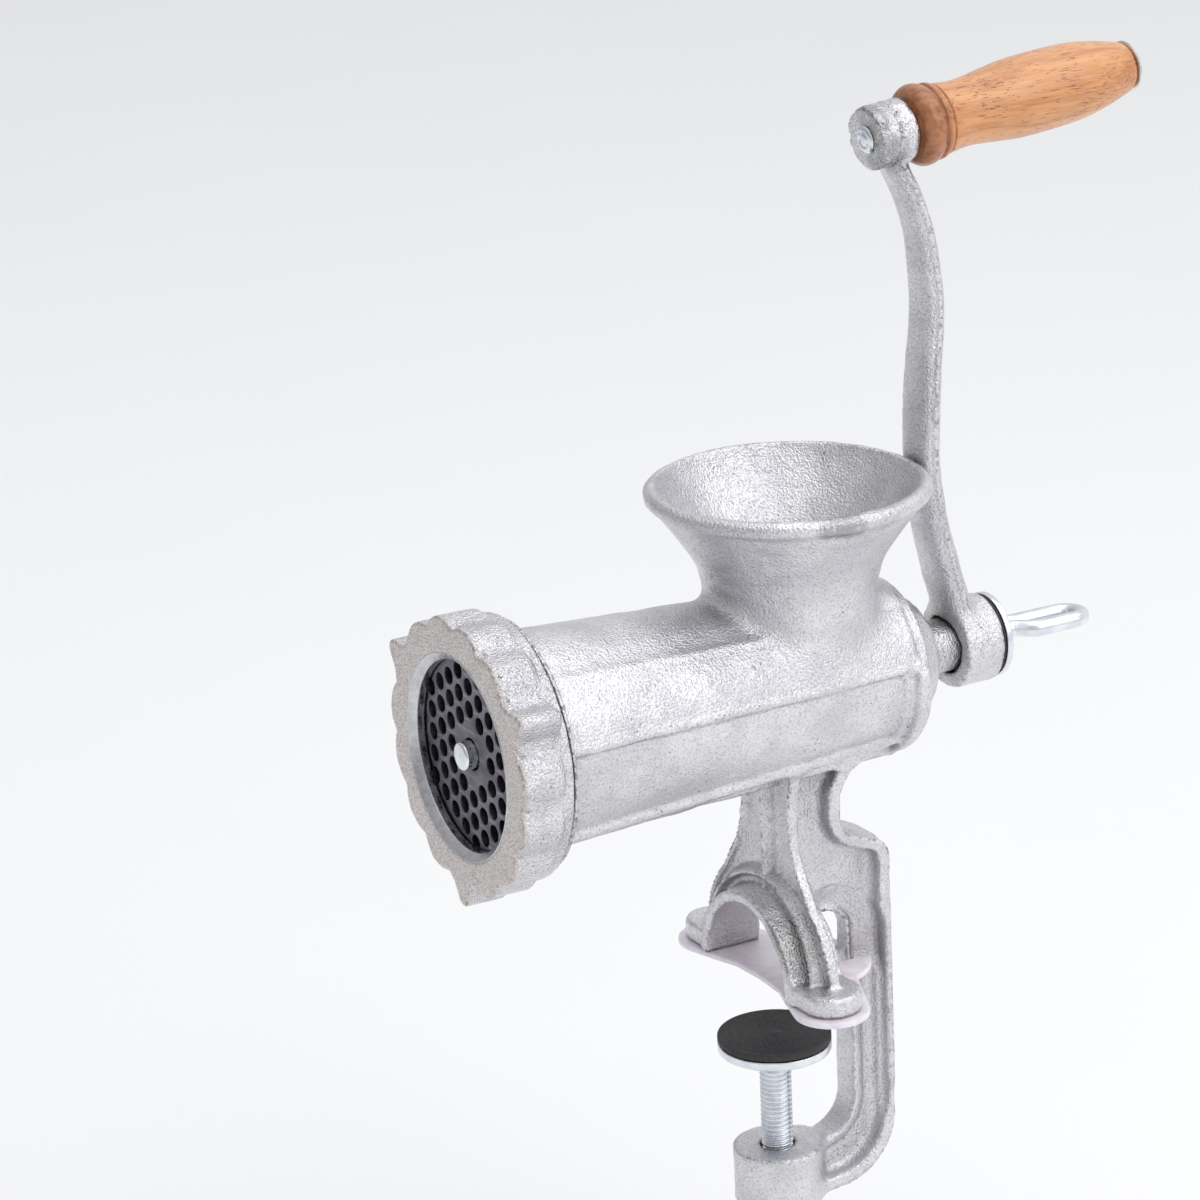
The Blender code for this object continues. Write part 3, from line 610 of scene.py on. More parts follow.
def rear_field(g):
    """The flange, the dome behind it and the boss for the bush."""
    radius = g.radius_y(AXIS_Z)
    back = lathe(rounded(REAR_PROFILE, 6), g.y, radius)
    upper = radius - UPPER_FLANGE_R
    high = ease(g.z, AXIS_Z + 2.0, AXIS_Z + 9.0)
    return np.where(g.y < REAR_FLANGE_END_Y, np.maximum(back, high * upper + (1 - high) * back), back)


def hopper_field(g):
    """The hopper's outside, with its rolled lip."""
    lip = [
        (RIM_Z + LIP_R * sin(radians(angle)), RIM_R + LIP_R * cos(radians(angle)))
        for angle in (-75, -50, -25, 0, 25, 50, 75, 95)
    ]
    return lathe(list(HOPPER_OUTSIDE) + lip, g.z, np.hypot(g.x, g.y - HOPPER_Y))


def hopper_bore(g):
    """The inside of the hopper, with a flow seam down one side."""
    bowl = lathe(HOPPER_INSIDE, g.z, np.hypot(g.x, g.y - HOPPER_Y))
    seam = bump(g.x - 0.35 * (g.y - HOPPER_Y), 12.0, 0.9) * ease(g.y, 20.0, 30.0) * ease(g.z, 128, 134)
    return bowl + 0.35 * seam


def shoulder_field(g):
    """The slope from the hopper's neck down to the rear flange."""
    profile = outline_distance(NECK_SLOPE, g.y, g.z)
    return meet(profile, np.abs(g.x) - 16.0 + 0.25 * (g.z - 100), 6.0)


def post_outline():
    """The post and its legs as (X, Z): the legs' outer arc, then up one side and down the other."""
    right = arc((0, ARCH_Z), LEG_R, -8, 47, 12) + list(POST_SIDE)
    return right + [(-x, z) for x, z in reversed(right)]


def support_field(g):
    """The post and its two arched legs: a thin plate with a rib, raised edges and a rimmed arch."""
    plane = outline_distance(post_outline(), g.x, g.z)
    reach = np.hypot(g.x, g.z - ARCH_Z)
    across = np.abs(g.x)
    leg_line = between(LEG_RELIEF, reach) - 0.07 * across * bump(reach, 30.2, 1.3)
    front = union(leg_line, between(RIB_RELIEF, across), 0.5)
    front = union(front, between(EDGE_RELIEF, -plane), 0.5)
    plate = meet(meet(plane, (front - g.y) * 0.8, 0.3), g.y - PLATE_BACK_Y, 0.3)
    vault = meet(reach - VAULT_R, slab(g.y, -FOOT_R, FOOT_R), 0.5)
    return np.maximum(union(plate, vault, 1.4), FEET_LOW_Z - g.z)


def feet_field(g):
    """Two flat feet with round ends, standing on the pad."""
    end = arc((FOOT_END_X - FOOT_R, 0), FOOT_R, -90, 90, 14)
    outline = [(18.0, -FOOT_R)] + end + [(18.0, FOOT_R)]
    plan = outline_distance(outline, np.abs(g.x), g.y)
    return np.maximum(meet(plan, g.z - FOOT_TOP_Z, 1.7), FEET_LOW_Z - g.z)


def clamp_frame_field(g):
    """The C-shaped frame: a web with a flange round its back and a lip round its throat."""
    outer, inner = rounded(FRAME_BACK), rounded(FRAME_THROAT)
    across = np.abs(g.x)
    closed = outer + inner + [(1.0, THROAT_TOP_Z), (1.0, 69.0)]
    plane = outline_distance(closed, g.y, g.z)
    web = meet(plane, across - WEB_HALF, 0.6)
    to_back = line_distance(outer, g.y, g.z)
    flange = meet(np.maximum(to_back - 3.6, plane), across - FLANGE_HALF, 1.0)
    step = meet(np.maximum(to_back - 1.6, plane), across - FLANGE_HALF - 0.35, 0.3)
    to_throat = line_distance(inner[:-1], g.y, g.z)
    low = ease(g.z, 3.0, -6.0)
    lip = meet(np.maximum(to_throat - 3.0, plane), across - WEB_HALF - 1.1 * low + 0.3 * (1 - low), 0.8)
    body = union(union(union(web, flange, 3.2), step, 0.3), lip, 0.8)
    dish = between(DISH_RELIEF, to_throat) + 3 * low
    body = cut(body, np.maximum(np.maximum(dish - across, to_throat - 9.4), slab(g.y, 6.0, 36.0)), 0.5)
    boss = meet(np.hypot(g.x, g.y) - CLAMP_BOSS_R, slab(g.z, CLAMP_BASE_Z, CLAMP_FLOOR_Z), 1.2)
    return union(body, boss, 3.0)


def bore_field(g):
    """The plate's seat, the tapered chamber and the hole for the shaft."""
    return lathe(BORE_PROFILE, g.y, g.radius_y(AXIS_Z))


def make_housing(look):
    """The casting: its parts joined with fillets, then the arch, the bores and the key's seat."""
    g = Grid((-45, -95, -74), (45, 53, 154), HOUSING_STEP)
    body = union(barrel_field(g), rear_field(g), 1.6)
    upper = union(hopper_field(g), shoulder_field(g), 5.0)
    body = union(body, upper, 5.0)
    depth = slab(g.y, *ARCH_Y)
    arch = np.maximum(np.hypot(g.x, g.z - ARCH_Z) - ARCH_R, depth)
    under = np.maximum(slab(g.x, -ARCH_R, ARCH_R), depth)
    arch = union(arch, np.maximum(under, slab(g.z, -20.0, ARCH_Z)))
    support = cut(union(support_field(g), feet_field(g), 1.6), arch, 0.5)
    frame_part = cut(clamp_frame_field(g), arch, 5.0)
    body = union(body, union(support, frame_part, 1.6), 3.0)
    body = cut(body, hopper_bore(g))
    body = cut(body, bore_field(g), 0.4)
    key = np.hypot(g.x, g.z - (AXIS_Z - KEY_DROP)) - KEY_R
    body = cut(body, np.maximum(key, g.y - KEY_REAR_Y))
    screw = np.hypot(g.x, g.y) - SCREW_HOLE_R
    body = cut(body, np.maximum(screw, g.z + 40), 0.6)
    made = g.mesh(body, "housing_casting", "root", look)
    cast_surface(made, 11)
    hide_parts("housing")


# ---- ring nut


def nut_radius(angle):
    """The grip's outline: shallow lobes all round and three tall ears."""
    wave = 0.5 + 0.5 * np.cos(LOBES * (angle - LOBE_PHASE))
    gap = (angle - EAR_PHASE + pi / 3) % (tau / 3) - pi / 3
    ear = EAR_RISE * np.exp(-(np.abs(gap / EAR_HALF) ** 2.6))
    return NUT_VALLEY_R + np.maximum(LOBE_RISE * np.sqrt(wave), LOBE_RISE * wave + ear)


def make_ring_nut(look, machined):
    """The lobed nut with its rim, and the turned bevel round its opening."""
    g = Grid((-46, -102, AXIS_Z - 46), (46, -82, AXIS_Z + 46), 0.5)
    radius = g.radius_y(AXIS_Z)
    angle = np.arctan2(g.z - AXIS_Z, g.x)
    lobes = nut_radius(angle)
    drop = np.clip(g.y - (NUT_GRIP_END_Y - 1.4), 0, None)
    lobed = (radius - (lobes - 0.35 * drop * drop)) * 0.85
    grip = meet(lobed, slab(g.y, NUT_FACE_Y, NUT_GRIP_END_Y + 0.6), 0.9)
    rim = meet(radius - NUT_RIM_R, slab(g.y, NUT_FACE_Y + 3, NUT_END_Y), 0.5)
    body = union(grip, rim, 0.8)
    made = g.mesh(cut(body, lathe(NUT_HOLE, g.y, radius)), "ring_nut_casting", "nut", look)
    cast_surface(made, 31, 0.85)
    face, inner = NUT_FACE_Y, NUT_OPENING_R - 0.12
    turned = (
        (face - 0.12, inner + 2.3), (face + 2.1, inner), (-96.0, inner), (-96.0, inner + 1.2),
        (face + 2.6, inner + 1.2), (face + 0.9, inner + 2.9),
    )
    bevel = ring_of("nut_machined_bevel", turned, about_barrel, "nut", machined, 180, 0.25)
    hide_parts("ring_nut")


# ---- crank


def arm_field(g):
    """The arm: flattened sections along a bent line in the plane x = 0, with a parting ridge."""
    nearest = np.full(np.broadcast_shapes(g.y.shape, g.z.shape), 1e12, np.float32)
    across = np.zeros_like(nearest)
    half_x = np.ones_like(nearest)
    half_n = np.ones_like(nearest)
    path = smooth_path(ARM_PATH, 6)
    for a, b in zip(path, path[1:]):
        dy, dz = b[0] - a[0], b[1] - a[1]
        share = np.clip(((g.y - a[0]) * dy + (g.z - a[1]) * dz) / (dy * dy + dz * dz), 0, 1)
        off_y, off_z = g.y - a[0] - share * dy, g.z - a[1] - share * dz
        gap = off_y**2 + off_z**2
        closer = gap < nearest
        nearest = np.where(closer, gap, nearest)
        side = (off_y * dz - off_z * dy) / hypot(dy, dz)
        across = np.where(closer, side, across)
        half_x = np.where(closer, a[2] + share * (b[2] - a[2]), half_x)
        half_n = np.where(closer, a[3] + share * (b[3] - a[3]), half_n)
    beyond = np.sqrt(np.maximum(nearest - across**2, 0))
    thick = np.hypot(across, beyond) / half_n
    wide = np.abs(g.x) / half_x
    oval = (wide**ARM_SQUARENESS + thick**ARM_SQUARENESS) ** (1 / ARM_SQUARENESS)
    arm = (oval - 1) * half_n * 0.9
    ridge = np.maximum(np.abs(g.x) - half_x - 0.5, np.abs(across - 0.4) - 0.55)
    ridge = np.maximum(ridge, beyond - 0.5)
    return union(arm, ridge, 1.0)


def from_square(g):
    """Distance from the barrel's axis to the side of a square round it."""
    return np.maximum(np.abs(g.x), np.abs(g.z - AXIS_Z))


def smooth_path(points, steps):
    """A Catmull-Rom line through points of any dimension."""
    points = [np.array(point, float) for point in points]
    line = []
    for index in range(len(points) - 1):
        p0 = points[max(index - 1, 0)]
        p1, p2 = points[index], points[index + 1]
        p3 = points[min(index + 2, len(points) - 1)]
        for step in range(steps):
            t = step / steps
            line.append(
                0.5 * (2 * p1 + (p2 - p0) * t + (2 * p0 - 5 * p1 + 4 * p2 - p3) * t * t
                       + (3 * p1 - p0 - 3 * p2 + p3) * t**3)
            )
    line.append(points[-1])
    return line


def make_crank(look):
    """The arm between its hub and its eye, with the folds and rough rim of the eye."""
    g = Grid((-15, 36, 76), (15, 78, 260), 0.55)
    radius = g.radius_y(AXIS_Z)
    hub = lathe(rounded(HUB_PROFILE, 6), g.y, radius)
    off_y, off_z = g.y - EYE_Y, g.z - EYE_Z
    along = off_y * cos(GRIP_TILT) + off_z * sin(GRIP_TILT)
    lift = off_z * cos(GRIP_TILT) - off_y * sin(GRIP_TILT)
    eye_radius = np.hypot(g.x, lift)
    eye_angle = np.arctan2(lift, g.x)
    # Two folds of the casting run round the eye.
    groove = 0.7 * bump(along, 0.4 + 0.5 * np.sin(3 * eye_angle), 0.45)
    groove = groove + 0.35 * bump(along, -2.6 + 0.4 * np.sin(2 * eye_angle + 1), 0.35)
    eye = meet(eye_radius - EYE_R + groove, np.abs(along) - EYE_HALF, 1.0)
    body = union(union(arm_field(g), hub, 2.6), eye, 1.4)
    recess = np.maximum(radius - HUB_RECESS_R, g.y - HUB_FRONT_Y - HUB_RECESS)
    socket = np.maximum(from_square(g) - SOCKET_HALF, slab(g.y, 60, 80))
    body = cut(body, union(recess, socket), 0.4)
    body = cut(body, np.maximum(eye_radius - EYE_BORE_R, np.abs(along) - 9))
    made = g.mesh(body, "crank_casting", "rotor", look)
    places = vertex_places(made)
    near_eye = np.exp(-((np.hypot(places[:, 1] - EYE_Y, places[:, 2] - EYE_Z) / 11.0) ** 4))
    rim = near_eye * ease(np.hypot(places[:, 0], places[:, 2] - EYE_Z), 7.2, 8.6)
    heights = cast_heights(places, ((0.09, 8.0), (0.05, 3.0), (0.035, 1.4)), 41)
    displace(made, heights + rim * 0.22 * lumps(places, 1.7, 44))
    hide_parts("crank_arm")


# ---- auger, plate, pin

AUGER_FRONT_Y = -81.8
AUGER_REAR_Y = 29.5
AUGER_PITCH = 31.0
AUGER_CORE_R = 9.5
AUGER_CORE_GROWTH = 4.0
AUGER_GAP = 0.9
AUGER_PHASE = radians(55)
FLIGHT_HALF = 2.6  # half the flight's thickness at its crest
FLIGHT_TAPER = 0.10
PIN_BORE_R = 4.3
PIN_BORE_DEPTH = 15
SCREW_BORE_R = 3.2
SCREW_BORE_Y = 59.0
DRIVE_HALF = 5.5
JOURNAL_R = 8.0
MOUTH_JOURNAL_Y = 65.2
DRIVE_END_Y = 74.2
PIN_TIP_Y = -99.2
PIN_SQUARE_HALF = 4.4
SHAFT_PROFILE = (
    (AUGER_REAR_Y - 4, 19.8), (AUGER_REAR_Y + 1, 19.8), (AUGER_REAR_Y + 1.1, JOURNAL_R),
    (MOUTH_JOURNAL_Y - 0.6, JOURNAL_R), (MOUTH_JOURNAL_Y, JOURNAL_R - 0.6),
)


def make_auger(look):
    """The screw with its one left-hand flight, its journal and its square."""
    g = Grid((-27, AUGER_FRONT_Y - 2, AXIS_Z - 27), (27, DRIVE_END_Y + 2, AXIS_Z + 27), 0.8)
    radius = g.radius_y(AXIS_Z)
    share = (g.y - AUGER_FRONT_Y) / (AUGER_REAR_Y - AUGER_FRONT_Y)
    core = radius - AUGER_CORE_R - AUGER_CORE_GROWTH * share
    turns = (AUGER_REAR_Y - AUGER_FRONT_Y - 4) / AUGER_PITCH
    turn = (turns * share - (np.arctan2(g.z - AXIS_Z, g.x) - AUGER_PHASE) / tau) % 1.0
    from_flight = np.abs(turn - 0.5) * AUGER_PITCH
    narrowing = BORE_FRONT_R - BORE_REAR_R
    bore = BORE_FRONT_R - narrowing * (g.y - BORE_FRONT_Y) / (BORE_REAR_Y - BORE_FRONT_Y)
    outer = bore - AUGER_GAP
    half_flight = FLIGHT_HALF + FLIGHT_TAPER * (outer - radius)
    flight = meet((from_flight - half_flight) * 0.8, radius - outer, 0.8)
    body = union(np.broadcast_to(core, g.shape), flight, 4.0)
    body = np.maximum(body, slab(g.y, AUGER_FRONT_Y, AUGER_REAR_Y))
    shaft = lathe(SHAFT_PROFILE, g.y, radius)
    square = np.maximum(from_square(g) - DRIVE_HALF, slab(g.y, 50, DRIVE_END_Y))
    body = union(union(body, shaft, 0.8), square, 0.4)
    body = cut(body, np.maximum(radius - PIN_BORE_R, g.y - AUGER_FRONT_Y - PIN_BORE_DEPTH))
    body = cut(body, np.maximum(radius - SCREW_BORE_R, SCREW_BORE_Y - g.y))
    made = g.mesh(body, "auger_casting", "rotor", look)
    places = vertex_places(made)
    displace(made, np.where(places[:, 1] < AUGER_REAR_Y, 0.07, 0.0) * lumps(places, 3.0, 51))
    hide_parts("auger")


def plate_hole_centres():
    """A hexagonal field of holes that leaves out the rim and the middle."""
    centres = []
    for column in range(-5, 6):
        for row in range(-5, 6):
            x = column * PLATE_PITCH * sqrt(3) / 2
            z = (row + 0.5 * (column % 2)) * PLATE_PITCH
            if HOLES_FROM_R < hypot(x, z) < PLATE_R - PLATE_HOLE_R - PLATE_RIM:
                centres.append((x, z))
    return centres


def stamped(name, outlines, thickness, bevel, matrix, body, look):
    """A flat piece with holes from closed outlines in its own plane, with every edge bevelled."""
    curve = bpy.data.curves.new(name, "CURVE")
    curve.dimensions = "2D"
    curve.fill_mode = "BOTH"
    curve.extrude = (thickness / 2 - bevel) * MM
    curve.bevel_depth = bevel * MM
    curve.bevel_resolution = 2
    curve.offset = -bevel * MM
    for outline in outlines:
        spline = curve.splines.new("POLY")
        spline.points.add(len(outline) - 1)
        for point, (u, v) in zip(spline.points, outline):
            point.co = (u * MM, v * MM, 0, 1)
        spline.use_cyclic_u = True
    drawn = new_object(name + "_curve", curve)
    bpy.context.view_layer.update()
    mesh = bpy.data.meshes.new_from_object(drawn.evaluated_get(bpy.context.evaluated_depsgraph_get()))
    bpy.data.objects.remove(drawn)
    shape = bmesh.new()
    shape.from_mesh(mesh)
    bmesh.ops.remove_doubles(shape, verts=shape.verts, dist=1e-6)
    shape.to_mesh(mesh)
    shape.free()
    mesh.transform(matrix)
    mesh.materials.clear()
    mesh.materials.append(look)
    mesh.shade_smooth()
    mesh.set_sharp_from_angle(angle=radians(50))
    made = new_object(name, mesh)
    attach(made, body)
    return outward(made)


def make_plate(look):
    """The plate with its holes and the notch for the key."""
    notch = PLATE_NOTCH
    half_angle = degrees(atan2(notch, PLATE_R))
    rim = arc((0, 0), PLATE_R, -90 + half_angle, 270 - half_angle, 160)
    rim += [(-notch, -PLATE_R + notch), (notch, -PLATE_R + notch)]
    outlines = [rim, arc((0, 0), PLATE_BORE_R, 0, 354, 59)]
    outlines += [arc(centre, PLATE_HOLE_R, 0, 350, 35) for centre in plate_hole_centres()]
    middle = PLATE_FRONT_Y + PLATE_THICKNESS / 2
    place = Matrix.Translation((0, middle * MM, AXIS_Z * MM)) @ Matrix.Rotation(radians(90), 4, "X")
    made = stamped("plate_disc", outlines, PLATE_THICKNESS, 0.22, place, "plate", look)
    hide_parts("grinding_plate")


def make_pin(bright, look):
    """The pin's round tip, and the square behind it that turns the knife."""
    square_end = PLATE_FRONT_Y + PLATE_THICKNESS + 0.1
    profile = [(PIN_TIP_Y - 0.25, 0.05), (PIN_TIP_Y - 0.2, 1.2), (PIN_TIP_Y, 2.6)]
    for angle in (80, 50, 25, 0):
        turn = radians(angle)
        profile.append((PIN_TIP_Y + 0.9 - 0.9 * sin(turn), 3.3 + 0.9 * cos(turn)))
    profile += [(square_end - 0.1, 4.2), (square_end - 0.1, 0.05)]
    tip = rod_of("pin_tip", profile, about_barrel, "rotor", bright)
    half = PIN_SQUARE_HALF
    bar = soften([(-half, -half), (half, -half), (half, half), (-half, half)], 0.6)
    sections = [[(x, y, AXIS_Z + z) for x, z in bar] for y in (square_end, AUGER_FRONT_Y - 0.3)]
    square = skin("pin_square", sections, "rotor", look)
    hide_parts("auger_pin")


def make_turned_parts(looks):
    """The bush, the washers and the gasket."""
    rings = (
        ("bush_ring", "rear_bush", "root", "steel", "machined_steel", 0.5,
         ((34.5, 8.15), (52.8, 8.15), (52.8, 12.6), (50.3, 12.6), (50.3, 10.0), (34.5, 10.0))),
        ("gasket_ring", "crank_gasket", "crank_washers", "rubber", "black_rubber", 0.12,
         ((75.7, 3.3), (76.4, 3.3), (76.4, 12.4), (75.7, 12.4))),
        ("washer_ring", "crank_washer", "crank_washers", "zinc", "zinc_steel", 0.35,
         ((76.7, 3.3), (78.7, 3.3), (78.7, 12.8), (76.7, 12.8))),
        ("thrust_ring", "auger_washer", "rotor", "white", "white_plastic", 0.3,
         ((30.8, 8.3), (33.2, 8.3), (33.2, 15.0), (30.8, 15.0))),
    )
    for name, node, body, look, slot, bevel, profile in rings:
        made = ring_of(name, profile, about_barrel, body, looks[look], 128, bevel)
        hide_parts(node)


# ---- bent rods

# Each thread: start, end, core radius, crest radius and pitch.
EYE_THREAD = (61.3, 74.8, 2.35, 2.9, 1.0)
EYE_ROD_R = 2.55
CLAMP_ROD_R = 4.5
DISC_TOP_Z = -20.5
DISC_LOW_Z = -23.7
CLAMP_TIP_Z = -20.8
CLAMP_THREAD = (-86.8, DISC_LOW_Z - 1.6, 4.0, 4.8, 1.5)
STEM_PROFILE = (
    (DISC_LOW_Z - 2.0, 0.05), (DISC_LOW_Z - 2.0, 3.0), (-22.2, 3.0), (-21.9, 4.2), (-21.2, 4.3),
    (CLAMP_TIP_Z, 3.2), (CLAMP_TIP_Z, 0.05),
)
DISC_PROFILE = (
    (DISC_TOP_Z - 0.02, 4.6), (DISC_TOP_Z, 17.0), (DISC_TOP_Z - 2.4, 17.0), (DISC_LOW_Z, 15.6),
    (DISC_LOW_Z - 1.0, 9.4), (DISC_LOW_Z - 4.0, 8.2), (DISC_LOW_Z - 4.0, 5.3), (DISC_LOW_Z - 1.0, 5.3),
    (DISC_LOW_Z - 0.9, 3.3), (DISC_TOP_Z - 1.6, 3.3), (DISC_TOP_Z - 1.6, 4.6),
)
# Each bent rod: where it starts, bends and ends along its axis, and half its loop's width.
EYE_BEND = (67.0, 86.0, 110.45, 5.2)
CLAMP_BEND = (64.5, 70.0, 113.95, 11.5)
# The rounded end of a rod: rings' share of its width, and how far each stands out.
ROD_END = ((1.0, 0.0), (0.96, 0.22), (0.88, 0.34), (0.02, 0.36))


def tube_points(path, radius, sides=32):
    """Rings round a path, with softly rounded ends."""
    path = [Vector(point) for point in path]
    sections = []
    side = (path[1] - path[0]).orthogonal()
    for index, point in enumerate(path):
        before = path[max(index - 1, 0)]
        after = path[min(index + 1, len(path) - 1)]
        along = (after - before).normalized()
        side = (side - along * side.dot(along)).normalized()
        other = along.cross(side)
        angles = [tau * step / sides for step in range(sides)]
        sections.append([point + radius * (side * cos(a) + other * sin(a)) for a in angles])

    def cap(end, inner):
        centre = path[end]
        way = (centre - path[inner]).normalized()
        return [
            [centre + (point - centre) * share + way * out for point in sections[end]]
            for share, out in ROD_END
        ]

    return cap(0, 1)[::-1] + sections[1:-1] + cap(-1, -2)


def eye_path(sizes, place):
    """A rod that runs straight, steps aside and comes back round a half circle to a cut end."""
    start, bend_start, bend_end, half_width = sizes
    step_length = 1.35 * half_width
    path = [(start + (bend_start - start) * n / 8, 0) for n in range(9)]
    for index in range(1, 13):
        share = index / 13
        path.append((bend_start + step_length * share, half_width * (1 - cos(pi * share)) / 2))
    centre = bend_end - half_width
    straight_from = bend_start + step_length
    path += [(straight_from + (centre - straight_from) * n / 4, half_width) for n in range(4)]
    for index in range(33):
        angle = pi / 2 - pi * index / 32
        path.append((centre + half_width * cos(angle), half_width * sin(angle)))
    cut_end = bend_start + 0.35 * half_width
    path += [(centre + (cut_end - centre) * n / 6, -half_width) for n in range(1, 7)]
    return [place(along, across) for along, across in path]


def thread_points(sizes, place):
    """The skin of a right-hand thread on a rod, with runouts at both ends."""
    start, end, core, crest, pitch = sizes
    steps = 48
    stations = int((end - start) / pitch * 12)
    sections = []
    for station in range(stations + 1):
        along = start + (end - start) * station / stations
        fade = ease(along, start, start + 1.2 * pitch) * (1 - ease(along, end - 1.2 * pitch, end))
        ring = []
        for step in range(steps):
            angle = tau * step / steps
            wave = (along / pitch - angle / tau) % 1.0
            height = min(max(1.25 - abs(wave - 0.5) * 4.2, 0.0), 0.85) / 0.85
            ring.append(place(along, core + (crest - core) * height * fade, angle))
        sections.append(ring)
    caps = []
    for end_ring in (sections[0], sections[-1]):
        middle = sum((Vector(point) for point in end_ring), Vector()) / steps
        caps.append([middle.lerp(Vector(point), 0.02) for point in end_ring])
    return [caps[0]] + sections + [caps[1]]


def make_eye_screw(look):
    """The screw's bent rod and its thread."""
    turn = radians(4)

    def place(along, across):
        return (across * cos(turn), along, AXIS_Z + across * sin(turn))

    path = eye_path(EYE_BEND, place)
    loop = skin("eye_screw_rod", tube_points(path, EYE_ROD_R), "eye_screw", look, 50)
    ridges = thread_points(EYE_THREAD, about_barrel)
    thread = skin("eye_screw_thread", ridges, "eye_screw", look, 60)
    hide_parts("crank_eye_screw")


def make_clamp(looks):
    """The screw with its handle and thread, and the disc on its end with its rubber face."""
    zinc = looks["zinc"]

    def place(along, across):
        return (across, 0, CLAMP_TIP_Z - along)

    path = eye_path(CLAMP_BEND, place)
    loop = skin("clamp_screw_handle", tube_points(path, CLAMP_ROD_R, 40), "clamp_screw", zinc, 50)
    ridges = thread_points(CLAMP_THREAD, about_clamp)
    thread = skin("clamp_screw_thread", ridges, "clamp_screw", zinc, 60)
    stem = rod_of("clamp_screw_stem", STEM_PROFILE, about_clamp, "clamp_screw", zinc, 48)
    disc = ring_of("clamp_pressure_disc", DISC_PROFILE, about_clamp, "clamp_foot", zinc, 128, 0.4)
    grooves = [(-18.0 - 0.35 * (n % 2), 2.0 + 14.2 * n / 14) for n in range(15)]
    face = [(-20.2, 0.05), (-20.2, 16.7), (-19.9, 17.0), (-18.4, 17.0), (-18.05, 16.8)]
    face += grooves[::-1] + [(-18.0, 0.05)]
    pad = rod_of("clamp_rubber_face", face, about_clamp, "clamp_foot", looks["rubber"])
    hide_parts("clamp_screw")
    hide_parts("clamp_disc")
    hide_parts("clamp_disc_pad")


# ---- grip

# Distance from the eye along the grip, and radius.
GRIP_OUTLINE = (
    (1.6, 8.4), (1.9, 9.9), (2.7, 11.0), (4.2, 11.8), (5.8, 11.9), (7.2, 11.5),
    (8.1, 10.9), (8.5, 10.7), (9.1, 11.2), (10.0, 11.2), (10.8, 10.8), (11.2, 10.0),
    (11.6, 9.8), (12.0, 10.3), (13.0, 10.35), (15.5, 10.0), (19.0, 9.75), (23.0, 9.95),
    (29.0, 10.7), (37.0, 11.6), (45.0, 11.75), (53.0, 11.6), (60.0, 11.15), (67.0, 9.9),
    (72.5, 8.5), (75.5, 7.6), (76.8, 6.9),
)
GRIP_END = 77.0
# How far the spindle's ends stand out past the eye and past the grip, and their radius.
RIVETED_END = (
    (1.1, 0.05), (1.05, 1.5), (0.75, 1.9), (0.5, 2.2), (0.95, 2.7), (0.9, 3.3), (0.45, 3.9),
    (0.1, 4.1), (0.1, 3.0),
)
SPINDLE_HEAD = (
    (0.3, 3.4), (0.3, 7.2), (0.5, 7.5), (1.0, 7.4), (1.7, 6.6), (2.1, 5.0), (2.2, 0.05),
)


def make_grip(looks):
    """The turned grip, its spindle with a riveted end, and the washer between grip and eye."""
    zinc = looks["zinc"]
    line = smooth_path(GRIP_OUTLINE, 5)
    profile = [(EYE_HALF + along, radius) for along, radius in line]
    end = EYE_HALF + GRIP_END
    profile += [(end, 6.2), (end, 3.8), (EYE_HALF + 1.5, 3.8), (EYE_HALF + 1.4, 7.6)]
    grip = ring_of("turned_grip", profile, about_grip, "grip", looks["wood"], 144, 0.12)
    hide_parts("wooden_grip")
    rod = [(-EYE_HALF - out, radius) for out, radius in RIVETED_END]
    rod += [(EYE_HALF + 1.4, 3.0), (EYE_HALF + 1.42, 3.4)]
    rod += [(end + out, radius) for out, radius in SPINDLE_HEAD]
    spindle = rod_of("spindle_rod", rod, about_grip, "rotor", zinc)
    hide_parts("grip_spindle")
    low, high = EYE_HALF + 0.3, EYE_HALF + 1.2
    ring = ((low, 3.9), (high, 3.9), (high, 7.5), (low, 7.5))
    washer = ring_of("grip_washer_ring", ring, about_grip, "rotor", zinc)
    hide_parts("grip_washer")


# ---- pad


def make_foot_pad(look):
    """The pad under both feet, with a tongue to the back that is slit for the web."""
    half = [(0.0, -4.6), (12.0, -5.2), (20.0, -7.8)]
    half += arc((33.0, 0.0), 11.2, -105, 75, 28) + arc((0.0, 13.5), 17.9, 18, 70, 14)
    half += [(WEB_HALF + 1.6, 30.2), (WEB_HALF + 1.6, THROAT_Y - 3.2)]
    outline = half + [(-x, y) for x, y in reversed(half[1:])]
    place = Matrix.Translation((0, 0, PAD_THICKNESS / 2 * MM))
    made = stamped("plastic_foot_pad", [outline], PAD_THICKNESS, 0.45, place, "root", look)
    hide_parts("foot_pad")


# ---- materials

# The colour sockets of a Mix node, whose names it shares with its number and vector sockets.
MIX_FIRST, MIX_SECOND, MIX_RESULT = 6, 7, 2


